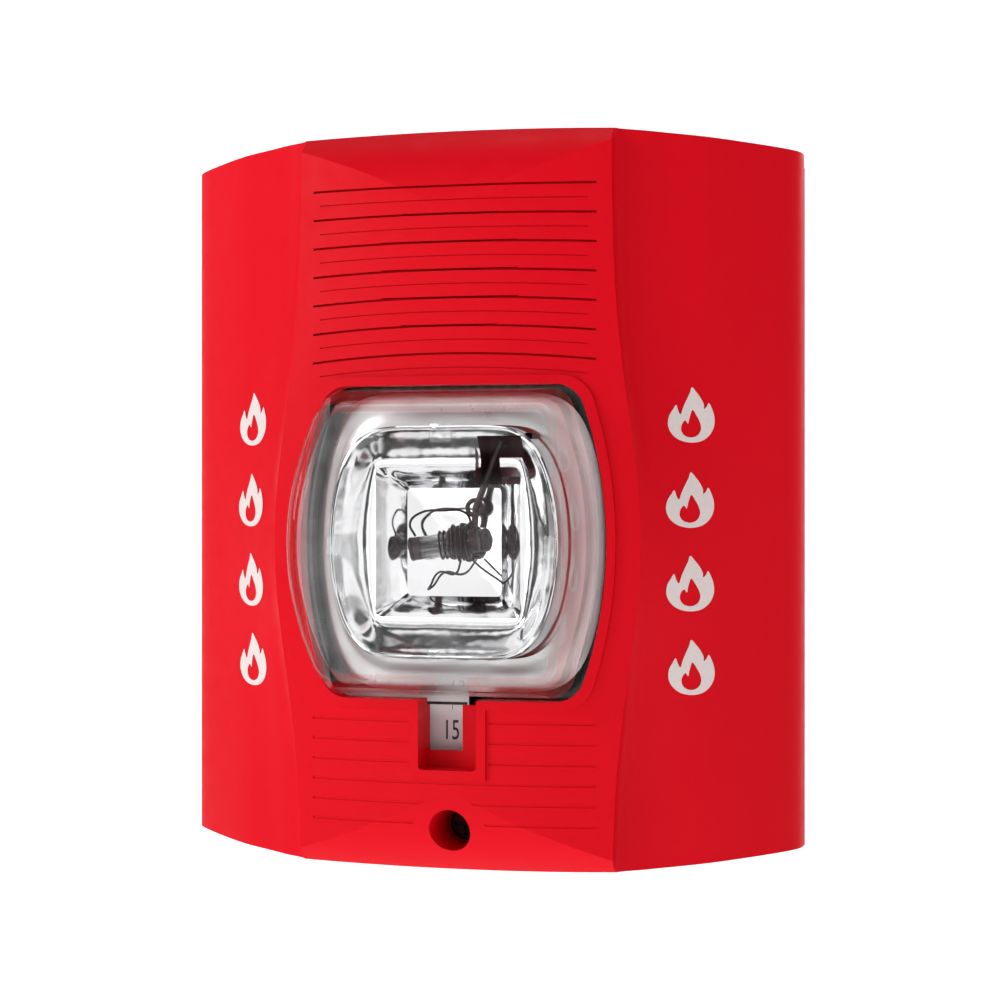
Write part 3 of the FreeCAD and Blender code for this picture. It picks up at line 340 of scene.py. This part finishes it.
def smooth(obj, angle):
    """Smooth shading with sharp edges past the given angle in degrees."""
    mesh = obj.data
    mesh.polygons.foreach_set("use_smooth", [True] * len(mesh.polygons))
    bm = bmesh.new()
    bm.from_mesh(mesh)
    for edge in bm.edges:
        if len(edge.link_faces) == 2:
            edge.smooth = edge.calc_face_angle() < math.radians(angle)
    bm.to_mesh(mesh)
    bm.free()


def curve_mesh(name, curve):
    """The mesh that a curve or text makes; the curve's own object is taken away again."""
    source = bpy.data.objects.new(name, curve)
    bpy.context.scene.collection.objects.link(source)
    bpy.context.view_layer.update()
    shaped = source.evaluated_get(bpy.context.evaluated_depsgraph_get())
    mesh = bpy.data.meshes.new_from_object(shaped)
    bpy.data.objects.remove(source)
    return mesh


def tube_along(name, points, radius, resolution=6):
    """Round wire along a smooth curve through given points, as a mesh."""
    curve = bpy.data.curves.new(name, "CURVE")
    curve.dimensions = "3D"
    curve.bevel_depth = radius
    curve.bevel_resolution = resolution
    curve.resolution_u = 12
    curve.use_fill_caps = True
    spline = curve.splines.new("BEZIER")
    spline.bezier_points.add(len(points) - 1)
    for handle, point in zip(spline.bezier_points, points):
        handle.co = point
        handle.handle_left_type = "AUTO"
        handle.handle_right_type = "AUTO"
    obj = new_object(name, curve_mesh(name + "_path", curve))
    smooth(obj, WIRE_SMOOTH)
    return obj


def ring_faces(rings, count, closed=False):
    """Quads between neighbouring rings of count points; closed also joins the last ring to the first."""
    faces = []
    for level in range(rings if closed else rings - 1):
        a, b = level * count, (level + 1) % rings * count
        for i in range(count):
            j = (i + 1) % count
            faces.append((a + i, a + j, b + j, b + i))
    return faces


def join_pieces(name, objects):
    """Joins several meshes into one object with the given name."""
    bm = bmesh.new()
    for obj in objects:
        bm.from_mesh(obj.data)
        mesh = obj.data
        bpy.data.objects.remove(obj)
        bpy.data.meshes.remove(mesh)
    mesh = bpy.data.meshes.new(name)
    bm.to_mesh(mesh)
    bm.free()
    return new_object(name, mesh)


# ---------------------------------------------------------------- printed marks

IN_FRONT = -0.2


def housing_surface():
    """Returns a function that finds the point and normal of the front housing's outer face at (x, z)."""
    mesh = NODES["front_housing"].data
    bm = bmesh.new()
    bm.from_mesh(mesh)
    tree = BVHTree.FromBMesh(bm)
    bm.free()

    def find(x, z):
        point, normal, _, _ = tree.ray_cast(Vector((x, IN_FRONT, z)), Vector((0, 1, 0)))
        return point, normal

    return find


SURFACE = housing_surface()

# The flame sign in millimetres, clockwise from its tip, and the drop-shaped opening inside it
FLAME_OUTER = [
    (0.02, 5.0), (0.75, 4.15), (1.45, 3.1), (1.95, 1.95), (2.0, 1.1), (2.45, 1.55), (2.8, 2.2), (3.35, 1.0),
    (3.7, -0.5), (3.62, -2.1), (3.0, -3.55), (1.9, -4.6), (0.5, -5.0), (-0.9, -4.9), (-2.2, -4.35),
    (-3.2, -3.3), (-3.72, -1.9), (-3.6, -0.3), (-2.95, 1.05), (-2.5, 1.75), (-2.15, 0.7), (-1.75, 0.1),
    (-1.35, 1.4), (-0.85, 2.7), (-0.35, 3.9),
]
FLAME_INNER = [
    (0.15, 0.9), (0.8, -0.1), (1.35, -1.3), (1.55, -2.5), (1.1, -3.6), (0.1, -4.1), (-1.0, -3.8), (-1.6, -2.9),
    (-1.55, -1.8), (-1.0, -1.0), (-0.55, -1.55), (-0.3, -0.4),
]
# The signs' places on the flanks, their height above the surface, and the patch's half size and cell in mm
MARK_X = 0.0425
MARK_HEIGHTS = (0.0154, 0.0, -0.0151, -0.0303)
MARK_LIFT = 0.00009
FLAME_REACH = (4.0, 5.2)
FLAME_CELL = 0.4


def rounded(points, steps=6):
    """Closed smooth curve through the points (Catmull-Rom)."""
    count = len(points)
    result = []
    for i in range(count):
        p0, p1, p2, p3 = (Vector(points[(i + k - 1) % count]) for k in range(4))
        for step in range(steps):
            t = step / steps
            a = 2 * p1 + (p2 - p0) * t
            b = (2 * p0 - 5 * p1 + 4 * p2 - p3) * t * t
            c = (3 * p1 - p0 - 3 * p2 + p3) * t * t * t
            result.append((a + b + c) / 2)
    return result


def split_at(bm, axis, place, reach=0.0):
    """Cuts every face where the axis has the value of place; reach is how near a corner may be to be used."""
    point, normal = Vector((0, 0, 0)), Vector((0, 0, 0))
    point[axis], normal[axis] = place, 1.0
    parts = bm.verts[:] + bm.edges[:] + bm.faces[:]
    bmesh.ops.bisect_plane(bm, geom=parts, plane_co=point, plane_no=normal, dist=reach)


def flame_patch():
    """The flame sign as a flat mesh in millimetres, cut into small faces that can follow a curve."""
    curve = bpy.data.curves.new("flame_outline", "CURVE")
    curve.dimensions = "2D"
    curve.fill_mode = "BOTH"
    for outline in (FLAME_OUTER, FLAME_INNER):
        points = rounded(outline)
        spline = curve.splines.new("POLY")
        spline.points.add(len(points) - 1)
        for target, (x, z) in zip(spline.points, points):
            target.co = (x, z, 0, 1)
        spline.use_cyclic_u = True
    flat = curve_mesh("flame_outline", curve)
    bm = bmesh.new()
    bm.from_mesh(flat)
    bpy.data.meshes.remove(flat)
    for axis, reach in enumerate(FLAME_REACH):
        line = -reach
        while line < reach:
            split_at(bm, axis, line)
            line += FLAME_CELL
    bmesh.ops.remove_doubles(bm, verts=bm.verts, dist=0.001)
    verts = [(v.co.x, v.co.y) for v in bm.verts]
    faces = [tuple(v.index for v in face.verts) for face in bm.faces]
    bm.free()
    return verts, faces


def flame_signs():
    """White flame signs printed on both flanks, following their curve."""
    patch, patch_faces = flame_patch()
    verts, faces = [], []
    for side in (-1, 1):
        for height in MARK_HEIGHTS:
            first = len(verts)
            for x, z in patch:
                point, normal = SURFACE(side * MARK_X + x * MM, height + z * MM)
                verts.append(point + normal * MARK_LIFT)
            faces += [tuple(first + i for i in face) for face in patch_faces]
    obj = mesh_object("flame_signs", verts, faces)
    smooth(obj, 60)
    return finish_piece(obj, "front_unit", "label_white", INK_WHITE)


# The label's print: numbers one step apart, and a ruled line with a tick over each number
NUMBERS = ("15", "30", "75", "110")
NUMBER_STEP = 0.0065
NUMBER_X = -0.0020
NUMBER_Z = -0.04255
NUMBER_SIZE = 0.0052
TWO_DIGITS_WIDE, THREE_DIGITS_WIDE = 0.0025, 0.0036
NUMBER_LIFT, LINE_LIFT = 0.00004, 0.00007
LINE_INSET = 0.0003
LINE_LOW, LINE_HIGH = -0.0379, -0.03738
TICK_LOW = -0.0388
TICK_HALF = 0.00005
TEXT_DEPTH = 0.00003
RIBBON_CELL = 0.0005
RIBBON_WOBBLE = 0.00001


def text_mesh(name, text, location, width):
    """Plain numerals facing the front, extruded a hair and squeezed to the given width."""
    curve = bpy.data.curves.new(name, "FONT")
    curve.body = text
    curve.size = NUMBER_SIZE
    curve.align_x = "CENTER"
    curve.align_y = "CENTER"
    curve.extrude = TEXT_DEPTH
    mesh = curve_mesh(name + "_text", curve)
    xs = [v.co.x for v in mesh.vertices]
    ys = [v.co.y for v in mesh.vertices]
    squeeze = width / (max(xs) - min(xs))
    middle_x, middle_y = (max(xs) + min(xs)) / 2, (max(ys) + min(ys)) / 2
    for v in mesh.vertices:
        x, y, z = v.co
        v.co = (location[0] + (x - middle_x) * squeeze, location[1] - z, location[2] + (y - middle_y))
    return new_object(name, mesh)


def ribbon(name, x0, x1, y, z0, z1):
    """Thin printed bar made of a row of small quads with slightly uneven edges."""
    count = max(2, int((x1 - x0) / RIBBON_CELL))
    verts, faces = [], []
    for k in range(count + 1):
        x = x0 + (x1 - x0) * k / count
        wobble = RIBBON_WOBBLE * math.sin(k * 1.7)
        verts += [(x, y, z0 + wobble), (x, y, z1 - wobble)]
        if k:
            a = 2 * (k - 1)
            faces.append((a, a + 2, a + 3, a + 1))
    return mesh_object(name, verts, faces)


def candela_print():
    """Numbers of the candela settings and the ruled line above them, printed on the strip's label."""
    number_y, line_y = LABEL_LOW.y - NUMBER_LIFT, LABEL_LOW.y - LINE_LIFT
    numbers, ticks = [], []
    for i, number in enumerate(NUMBERS):
        x = NUMBER_X - NUMBER_STEP * i
        wide = THREE_DIGITS_WIDE if len(number) == 3 else TWO_DIGITS_WIDE
        numbers.append(text_mesh("number_%d" % i, number, (x, number_y, NUMBER_Z), wide))
    line = ribbon("line", LABEL_LOW.x + LINE_INSET, LABEL_HIGH.x - LINE_INSET, line_y, LINE_LOW, LINE_HIGH)
    for i in range(len(NUMBERS)):
        x = NUMBER_X - NUMBER_STEP * i
        ticks.append(ribbon("tick_%d" % i, x - TICK_HALF, x + TICK_HALF, line_y, TICK_LOW, LINE_LOW))
    obj = join_pieces("candela_print", numbers + [line] + ticks)
    return finish_piece(obj, "candela_strip", "label_white", INK_BLACK)


# ---------------------------------------------------------------- inside the lens

def lamp_point(x, y, z):
    """A place given in millimetres."""
    return Vector((x * MM, y * MM, z * MM))


def between(first, last, t):
    return first + (last - first) * t


# The bowl in millimetres, from its flange inwards: (half width, half height), the bow of its sides and how
# far its corners are rounded (0 square, 1 round). Depths are y, and more negative is nearer the front.
BOWL_Z = -7.7
BOWL_POINTS = 144
FLANGE_OUTER, FLANGE_INNER = (22.4, 27.5), (17.0, 21.4)
FLANGE_BOW, FLANGE_CORNER = 5.2, 0.28
FLANGE_Y, FLANGE_SLOPE, FLANGE_RIPPLE = -25.0, 1.0, 0.12
FLANGE_LOOPS = 9
SKIRT = (16.6, 21.1)
SKIRT_BACK, SKIRT_FRONT = -26.4, -34.9
BOWL_BOW, BOWL_CORNER = 5.0, 0.30
RIM, RIM_RADIUS, RIM_Y = (16.2, 20.7), 0.4, -35.5
RIM_LOOPS = 7
DISH_OUTER, DISH_INNER = (15.6, 20.2), (13.7, 13.6)
DISH_Y, DISH_DEEP, DISH_EASE, DISH_BOW_EASE = -35.3, 3.1, 1.3, 0.8
DISH_LIFT, DISH_LIFT_FROM = 0.9, 0.7
DISH_LOOPS = 18
FLOOR_HALF, FLOOR_Y, FLOOR_CROWN, FLOOR_CORNER = (9.0, 9.9), -28.3, 0.25, 0.06
SLOPE_Y, SLOPE_SAG = -32.5, 0.35
SLOPE_LOOPS = 6
FLOOR_LOOPS = 9
# Openings for the bent lead, as (x, z) corners
LEAD_OPENINGS = (((6.3, 3.4), (9.9, 11.5)), ((9.6, 7.6), (14.8, 11.5)))
# Faces of the bowl behind this y are its flange
FLANGE_FRONT = -0.0268
BOWL_SMOOTH = 24


def bowl_loop(half, bow, corner, y):
    """Closed loop round the bowl: bowed sides, straight ends and rounded corners, evenly stepped by angle."""
    half_x, half_z = half
    side = half_x + bow
    sharp = 2.0 / corner
    points = []
    for k in range(BOWL_POINTS):
        a = 2 * math.pi * (k + 0.5) / BOWL_POINTS
        c, q = math.cos(a), math.sin(a)
        scale = (abs(c / side) ** sharp + abs(q / half_z) ** sharp) ** (-1 / sharp)
        x, z = c * scale, q * scale
        pull = 1 - bow / side * (z / half_z) ** 2
        points.append(lamp_point(x * pull, y, BOWL_Z + z))
    return points


def half_between(outer, inner, t):
    return between(outer[0], inner[0], t), between(outer[1], inner[1], t)


def bowl_loops():
    """The bowl's loops from the outer edge of its flange to the middle of its floor."""
    loops = []
    for k in range(FLANGE_LOOPS):
        t = k / (FLANGE_LOOPS - 1)
        depth = FLANGE_Y - FLANGE_SLOPE * t - FLANGE_RIPPLE * math.sin(3 * math.pi * t)
        loops.append(bowl_loop(half_between(FLANGE_OUTER, FLANGE_INNER, t), FLANGE_BOW, FLANGE_CORNER, depth))
    for depth in (SKIRT_BACK, SKIRT_FRONT):
        loops.append(bowl_loop(SKIRT, BOWL_BOW, BOWL_CORNER, depth))
    for k in range(RIM_LOOPS):
        a = math.pi * k / (RIM_LOOPS - 1)
        out = RIM_RADIUS * math.cos(a)
        loops.append(bowl_loop((RIM[0] + out, RIM[1] + out), BOWL_BOW, BOWL_CORNER,
                               RIM_Y - RIM_RADIUS * math.sin(a)))
    for k in range(1, DISH_LOOPS + 1):
        t = k / DISH_LOOPS
        depth = DISH_Y + DISH_DEEP * math.sin(t * math.pi / 2) ** DISH_EASE
        depth -= DISH_LIFT * max(0.0, t - DISH_LIFT_FROM)
        loops.append(bowl_loop(half_between(DISH_OUTER, DISH_INNER, t), BOWL_BOW * (1 - t) ** DISH_BOW_EASE,
                               between(BOWL_CORNER, FLOOR_CORNER, t), depth))
    for k in range(1, SLOPE_LOOPS + 1):
        t = k / SLOPE_LOOPS
        depth = between(SLOPE_Y, FLOOR_Y, t) - SLOPE_SAG * math.sin(math.pi * t)
        loops.append(bowl_loop(half_between(DISH_INNER, FLOOR_HALF, t), 0.0, FLOOR_CORNER, depth))
    for k in range(1, FLOOR_LOOPS):
        t = k / FLOOR_LOOPS
        depth = FLOOR_Y + FLOOR_CROWN * math.sin(t * math.pi / 2)
        loops.append(bowl_loop(half_between(FLOOR_HALF, (0.0, 0.0), t), 0.0, FLOOR_CORNER, depth))
    return loops


def open_box(bm, low, high):
    """Cuts the sheet along the sides of a box in x and z, and removes what lies inside it."""
    for axis, k in ((0, 0), (2, 1)):
        for corner in (low, high):
            split_at(bm, axis, corner[k] * MM, 1e-7)
    gone = []
    for face in bm.faces:
        middle = face.calc_center_median() / MM
        if low[0] < middle.x < high[0] and low[1] < middle.z < high[1]:
            gone.append(face)
    bmesh.ops.delete(bm, geom=gone, context="FACES")


def reflector_bowl():
    """Metallised bowl: rippled flange, skirt, rolled rim, curved dish, sloping rectangle and domed floor."""
    loops = bowl_loops()
    faces = ring_faces(len(loops), BOWL_POINTS)
    last = (len(loops) - 1) * BOWL_POINTS
    faces.append(tuple(range(last, last + BOWL_POINTS)))
    obj = mesh_object("reflector_bowl", [v for loop in loops for v in loop], faces)
    bm = bmesh.new()
    bm.from_mesh(obj.data)
    for low, high in LEAD_OPENINGS:
        open_box(bm, low, high)
    bmesh.ops.recalc_face_normals(bm, faces=bm.faces)
    bm.to_mesh(obj.data)
    bm.free()
    smooth(obj, BOWL_SMOOTH)
    finish_piece(obj, "front_unit", "mirror_bowl")
    obj.data.materials.append(satin_flange())
    for face in obj.data.polygons:
        if face.center.y > FLANGE_FRONT:
            face.material_index = 1
    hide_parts("reflector")
    return obj


# Wires and small pieces inside the lens, in millimetres unless they end in _M
TRIGGER_WIRE_M, THIN_WIRE_M = 0.00022, 0.0002
TRIGGER_LOOP = ((-6.4, -31.6, -6.6), (-7.2, -32.2, -4.2), (-5.4, -32.0, -2.4), (-1.0, -31.8, -1.9),
                (3.2, -31.4, -2.4), (4.3, -31.4, -4.6))
TRIGGER_TAIL = ((2.6, -32.6, -11.0), (1.0, -31.0, -13.4), (-2.4, -30.0, -13.2), (-4.4, -29.0, -15.8),
                (-5.0, -28.3, -16.4))
TRIGGER_STUB = ((4.4, -31.6, -10.8), (6.4, -31.0, -12.6), (9.0, -29.6, -14.6), (9.6, -28.3, -15.4))
TUBE_START, TUBE_END = (-5.0, -32.0, -8.7), (3.8, -30.6, -7.5)
POINTS_A_TURN = 10
SOCKET_OUTLINE = ((5.6, 2.8), (10.6, 2.8), (10.6, 4.2), (16.2, 4.2), (16.2, 12.0), (5.6, 12.0))
SOCKET_MIDDLE = (10.9, 7.4)
SOCKET_LAYERS = ((-33.4, 1.0), (-30.0, 0.99), (-27.0, 0.96), (-26.4, 0.90))
SOCKET_SLOPE = 0.02
SOCKET_STEPS = 6
EYE_CENTRE = (4.7, -31.0, -1.4)
EYE_RADIUS_M, EYE_TILT = 0.00135, 0.05
EYE_THICK_M, EYE_DEEP_M = 0.00042, 0.00036
EYE_AROUND, EYE_ACROSS = 40, 14
CLIPS = ((-0.2, 12.2, 2.1, 1.9), (0.0, -27.9, 2.6, 1.2), (-20.4, -8.3, 1.6, 1.9), (20.4, -8.3, 1.4, 1.9))
CLIP_CORNER, CLIP_Y, CLIP_THICK = 0.45, -36.7, 0.9
CLIP_LAYERS = ((0.0, 0.86), (0.3, 1.0), (1.0, 1.0))


def trigger_leads():
    """Thin trigger lead over the tube from its left end, and the two thin leads down to the board."""
    wires = (("loop", TRIGGER_LOOP, TRIGGER_WIRE_M), ("tail", TRIGGER_TAIL, THIN_WIRE_M),
             ("stub", TRIGGER_STUB, THIN_WIRE_M))
    parts = []
    for name, places, radius in wires:
        parts.append(tube_along("trigger_" + name, [lamp_point(*place) for place in places], radius))
    obj = join_pieces("trigger_leads", parts)
    smooth(obj, WIRE_SMOOTH)
    return finish_piece(obj, "front_unit", "trigger_metal")


def tube_wrap():
    """Close turns of dark wire round the tube's right half, and the rolled ring round its left end."""
    start, end = lamp_point(*TUBE_START), lamp_point(*TUBE_END)
    run = (end - start).normalized()
    across = run.cross(Vector((0, 0, 1))).normalized()
    upright = across.cross(run)

    def turns(name, first, last, radius, count, wire, swing=0.0):
        """Wire wound round the tube's axis from first to last along it, in metres."""
        points = []
        steps = count * POINTS_A_TURN
        for k in range(steps + 1):
            a = 2 * math.pi * k / POINTS_A_TURN
            r = radius * (1 + swing * math.sin(k * 0.9))
            along = first + (last - first) * k / steps
            points.append(start + run * along + (across * math.cos(a) + upright * math.sin(a)) * r)
        return tube_along(name, points, wire, 4)

    parts = [
        turns("wrap_fine", 0.0054, 0.0088, 0.00262, 6, 0.00032),
        turns("wrap_loose", 0.0060, 0.0084, 0.0031, 3, 0.00026, 0.06),
        turns("end_ring", -0.0019, -0.0016, 0.00175, 2, 0.00042),
        turns("end_core", -0.0019, -0.0017, 0.00045, 2, 0.00035),
    ]
    obj = join_pieces("tube_wrap", parts)
    smooth(obj, WIRE_SMOOTH)
    return finish_piece(obj, "front_unit", "trigger_metal")


def socket_liner():
    """Dark well behind the opening for the bent lead, narrower and closed at its back; its dark red is painted
    shade.
    """
    middle = Vector(SOCKET_MIDDLE)
    verts = []
    for depth, grow in SOCKET_LAYERS:
        for (x0, z0), (x1, z1) in zip(SOCKET_OUTLINE, SOCKET_OUTLINE[1:] + SOCKET_OUTLINE[:1]):
            for k in range(SOCKET_STEPS):
                t = k / SOCKET_STEPS
                place = middle + (Vector((between(x0, x1, t), between(z0, z1, t))) - middle) * grow
                verts.append(lamp_point(place.x, depth - SOCKET_SLOPE * place.y, place.y))
    count = len(SOCKET_OUTLINE) * SOCKET_STEPS
    faces = ring_faces(len(SOCKET_LAYERS), count)
    faces.append(tuple(range(len(verts) - count, len(verts))))
    obj = mesh_object("socket_liner", verts, faces, 40)
    return finish_piece(obj, "front_unit", "slider_plastic", SOCKET_PAINTED_SHADE)


def ring_terminal():
    """Crimped ring at the foot of the bent lead."""
    centre = lamp_point(*EYE_CENTRE)
    verts = []
    for i in range(EYE_AROUND):
        a = 2 * math.pi * i / EYE_AROUND
        middle = centre + Vector((math.cos(a), EYE_TILT * math.sin(a), math.sin(a))) * EYE_RADIUS_M
        for j in range(EYE_ACROSS):
            b = 2 * math.pi * j / EYE_ACROSS
            out = Vector((math.cos(a), 0, math.sin(a))) * math.cos(b) * EYE_THICK_M
            verts.append(middle + out + Vector((0, 1, 0)) * math.sin(b) * EYE_DEEP_M)
    obj = mesh_object("ring_terminal", verts, ring_faces(EYE_AROUND, EYE_ACROSS, closed=True), 60)
    return finish_piece(obj, "front_unit", "lead_metal")


def clip_plate(name, outline):
    """Small stamped plate with a softened front edge, from its outline in x and z."""
    middle = sum((Vector(p) for p in outline), Vector((0, 0))) / len(outline)
    verts = []
    for depth, grow in CLIP_LAYERS:
        for p in outline:
            q = middle + (Vector(p) - middle) * grow
            verts.append(lamp_point(q.x, CLIP_Y + depth * CLIP_THICK, q.y))
    count = len(outline)
    faces = ring_faces(len(CLIP_LAYERS), count)
    faces.append(tuple(range(count))[::-1])
    faces.append(tuple(range(len(verts) - count, len(verts))))
    obj = mesh_object(name, verts, faces)
    bm = bmesh.new()
    bm.from_mesh(obj.data)
    bmesh.ops.recalc_face_normals(bm, faces=bm.faces)
    bm.to_mesh(obj.data)
    bm.free()
    smooth(obj, 40)
    return obj


def bowl_clips():
    """Four small clips that hold the bowl's rim: rectangles with their corners cut off."""
    clips = []
    for i, (x, z, half_x, half_z) in enumerate(CLIPS):
        in_x, in_z = half_x - CLIP_CORNER, half_z - CLIP_CORNER
        corners = ((-in_x, -half_z), (in_x, -half_z), (half_x, -in_z), (half_x, in_z),
                   (in_x, half_z), (-in_x, half_z), (-half_x, in_z), (-half_x, -in_z))
        clips.append(clip_plate("clip_%d" % i, [(x + dx, z + dz) for dx, dz in corners]))
    obj = join_pieces("bowl_clips", clips)
    return finish_piece(obj, "front_unit", "clear_lens", CLIP_CLEAR)


# ---------------------------------------------------------------- stage, light and camera

# The floor's section: a level strip, a quarter-round cove and a wall, in metres
FLOOR_LEVEL = -0.30
FLOOR_NEAR, COVE_START, COVE_RADIUS, COVE_STEPS = -4.0, 1.6, 1.2, 12
WALL_TOP = 5.0
FLOOR_WIDE = 6.0
FLOOR_GLOW = 0.62
# Area lights: name, place, what they look at, width and height in metres, and power in watts
LAMPS = (
    ("key", (-0.85, -0.75, 0.42), (0, 0, 0), (0.45, 0.45), 5.5),
    ("front", (-0.38, -1.15, -0.08), (0, 0, 0), (0.62, 0.62), 1.15),
    ("top", (0.0, 0.02, 0.8), (0, 0, 0.03), (0.6, 0.25), 1.0),
    ("back", (0.3, 0.9, 0.5), (0, 0, 0), (0.6, 0.6), 3.5),
)
# The surroundings: soft light and dark patches, stronger in reflections
PATCH_SCALE = 2.9
PATCH_RANGE = (0.44, 0.56)
PATCH_LEVELS = (0.02, 0.52)
REFLECTION_GAIN = 2.0
# The photo's camera
CAMERA_PLACE = (0.1297, -0.4475, 0.0)
CAMERA_LOOK = (-0.2773, 0.9608, 0.0)
CAMERA_LENS, CAMERA_SENSOR = 86.4, 36.0


def floor():
    """Plain pale floor under the object, curving up behind it."""
    n = Nodes("floor_paint")
    n.shade(Base_Color=n.blend(n.noise(3.0, 2.0), (0.86, 0.86, 0.87, 1), (0.9, 0.9, 0.9, 1)))
    n.shade(Roughness=n.span(n.noise(40.0), 0.6, 0.75), Normal=n.bump(n.noise(300.0), 0.00005, 0.3))
    n.shade(Emission_Color=(1, 1, 1, 1), Emission_Strength=FLOOR_GLOW)
    profile = [(FLOOR_NEAR, FLOOR_LEVEL), (COVE_START, FLOOR_LEVEL)]
    for k in range(1, COVE_STEPS + 1):
        a = math.pi / 2 * k / COVE_STEPS
        profile.append((COVE_START + COVE_RADIUS * math.sin(a),
                        FLOOR_LEVEL + COVE_RADIUS - COVE_RADIUS * math.cos(a)))
    profile.append((COVE_START + COVE_RADIUS, WALL_TOP))
    verts = [(x, y, z) for y, z in profile for x in (-FLOOR_WIDE, FLOOR_WIDE)]
    faces = [(2 * k, 2 * k + 1, 2 * k + 3, 2 * k + 2) for k in range(len(profile) - 1)]
    obj = mesh_object("studio_floor", verts, faces, 60)
    obj.data.materials.append(n.material)
    obj.visible_glossy = False


def area_light(name, place, target, size, power):
    light = bpy.data.lights.new(name, "AREA")
    light.shape = "RECTANGLE"
    light.size, light.size_y = size
    light.energy = power
    obj = bpy.data.objects.new(name, light)
    bpy.context.scene.collection.objects.link(obj)
    obj.location = place
    obj.rotation_euler = (Vector(target) - Vector(place)).to_track_quat("-Z", "Y").to_euler()


def surroundings():
    """World: plain white to the camera, and to everything else the soft patches of a dim studio."""
    world = bpy.data.worlds.new("studio")
    bpy.context.scene.world = world
    world.use_nodes = True
    tree = world.node_tree
    seen = tree.nodes["Background"]
    seen.inputs["Color"].default_value = (1, 1, 1, 1)
    seen.inputs["Strength"].default_value = 1.0
    ambient = tree.nodes.new("ShaderNodeBackground")
    ambient.inputs["Color"].default_value = (1, 1, 1, 1)
    path = tree.nodes.new("ShaderNodeLightPath")
    around = tree.nodes.new("ShaderNodeTexCoord")
    patches = tree.nodes.new("ShaderNodeTexNoise")
    patches.inputs["Scale"].default_value = PATCH_SCALE
    patches.inputs["Detail"].default_value = 1.0
    level = tree.nodes.new("ShaderNodeMapRange")
    for name, number in zip(("From Min", "From Max", "To Min", "To Max"), PATCH_RANGE + PATCH_LEVELS):
        level.inputs[name].default_value = number
    tree.links.new(around.outputs["Generated"], patches.inputs["Vector"])
    tree.links.new(patches.outputs["Fac"], level.inputs["Value"])
    gloss = tree.nodes.new("ShaderNodeMapRange")
    gloss.inputs["To Min"].default_value = 1.0
    gloss.inputs["To Max"].default_value = REFLECTION_GAIN
    product = tree.nodes.new("ShaderNodeMath")
    product.operation = "MULTIPLY"
    tree.links.new(path.outputs["Is Glossy Ray"], gloss.inputs["Value"])
    tree.links.new(level.outputs["Result"], product.inputs[0])
    tree.links.new(gloss.outputs["Result"], product.inputs[1])
    tree.links.new(product.outputs[0], ambient.inputs["Strength"])
    mix = tree.nodes.new("ShaderNodeMixShader")
    tree.links.new(path.outputs["Is Camera Ray"], mix.inputs[0])
    tree.links.new(ambient.outputs[0], mix.inputs[1])
    tree.links.new(seen.outputs[0], mix.inputs[2])
    tree.links.new(mix.outputs[0], tree.nodes["World Output"].inputs["Surface"])


def lights():
    surroundings()
    for name, place, target, size, power in LAMPS:
        area_light(name, place, target, size, power)


def camera():
    data = bpy.data.cameras.new("photo_view")
    data.lens = CAMERA_LENS
    data.sensor_width = CAMERA_SENSOR
    obj = bpy.data.objects.new("photo_view", data)
    bpy.context.scene.collection.objects.link(obj)
    obj.location = CAMERA_PLACE
    obj.rotation_euler = Vector(CAMERA_LOOK).to_track_quat("-Z", "Y").to_euler()
    bpy.context.scene.camera = obj


dress_frame()
flame_signs()
reflector_bowl()
candela_print()
trigger_leads()
ring_terminal()
tube_wrap()
socket_liner()
bowl_clips()
floor()
lights()
camera()

bpy.context.scene.view_settings.view_transform = "Standard"
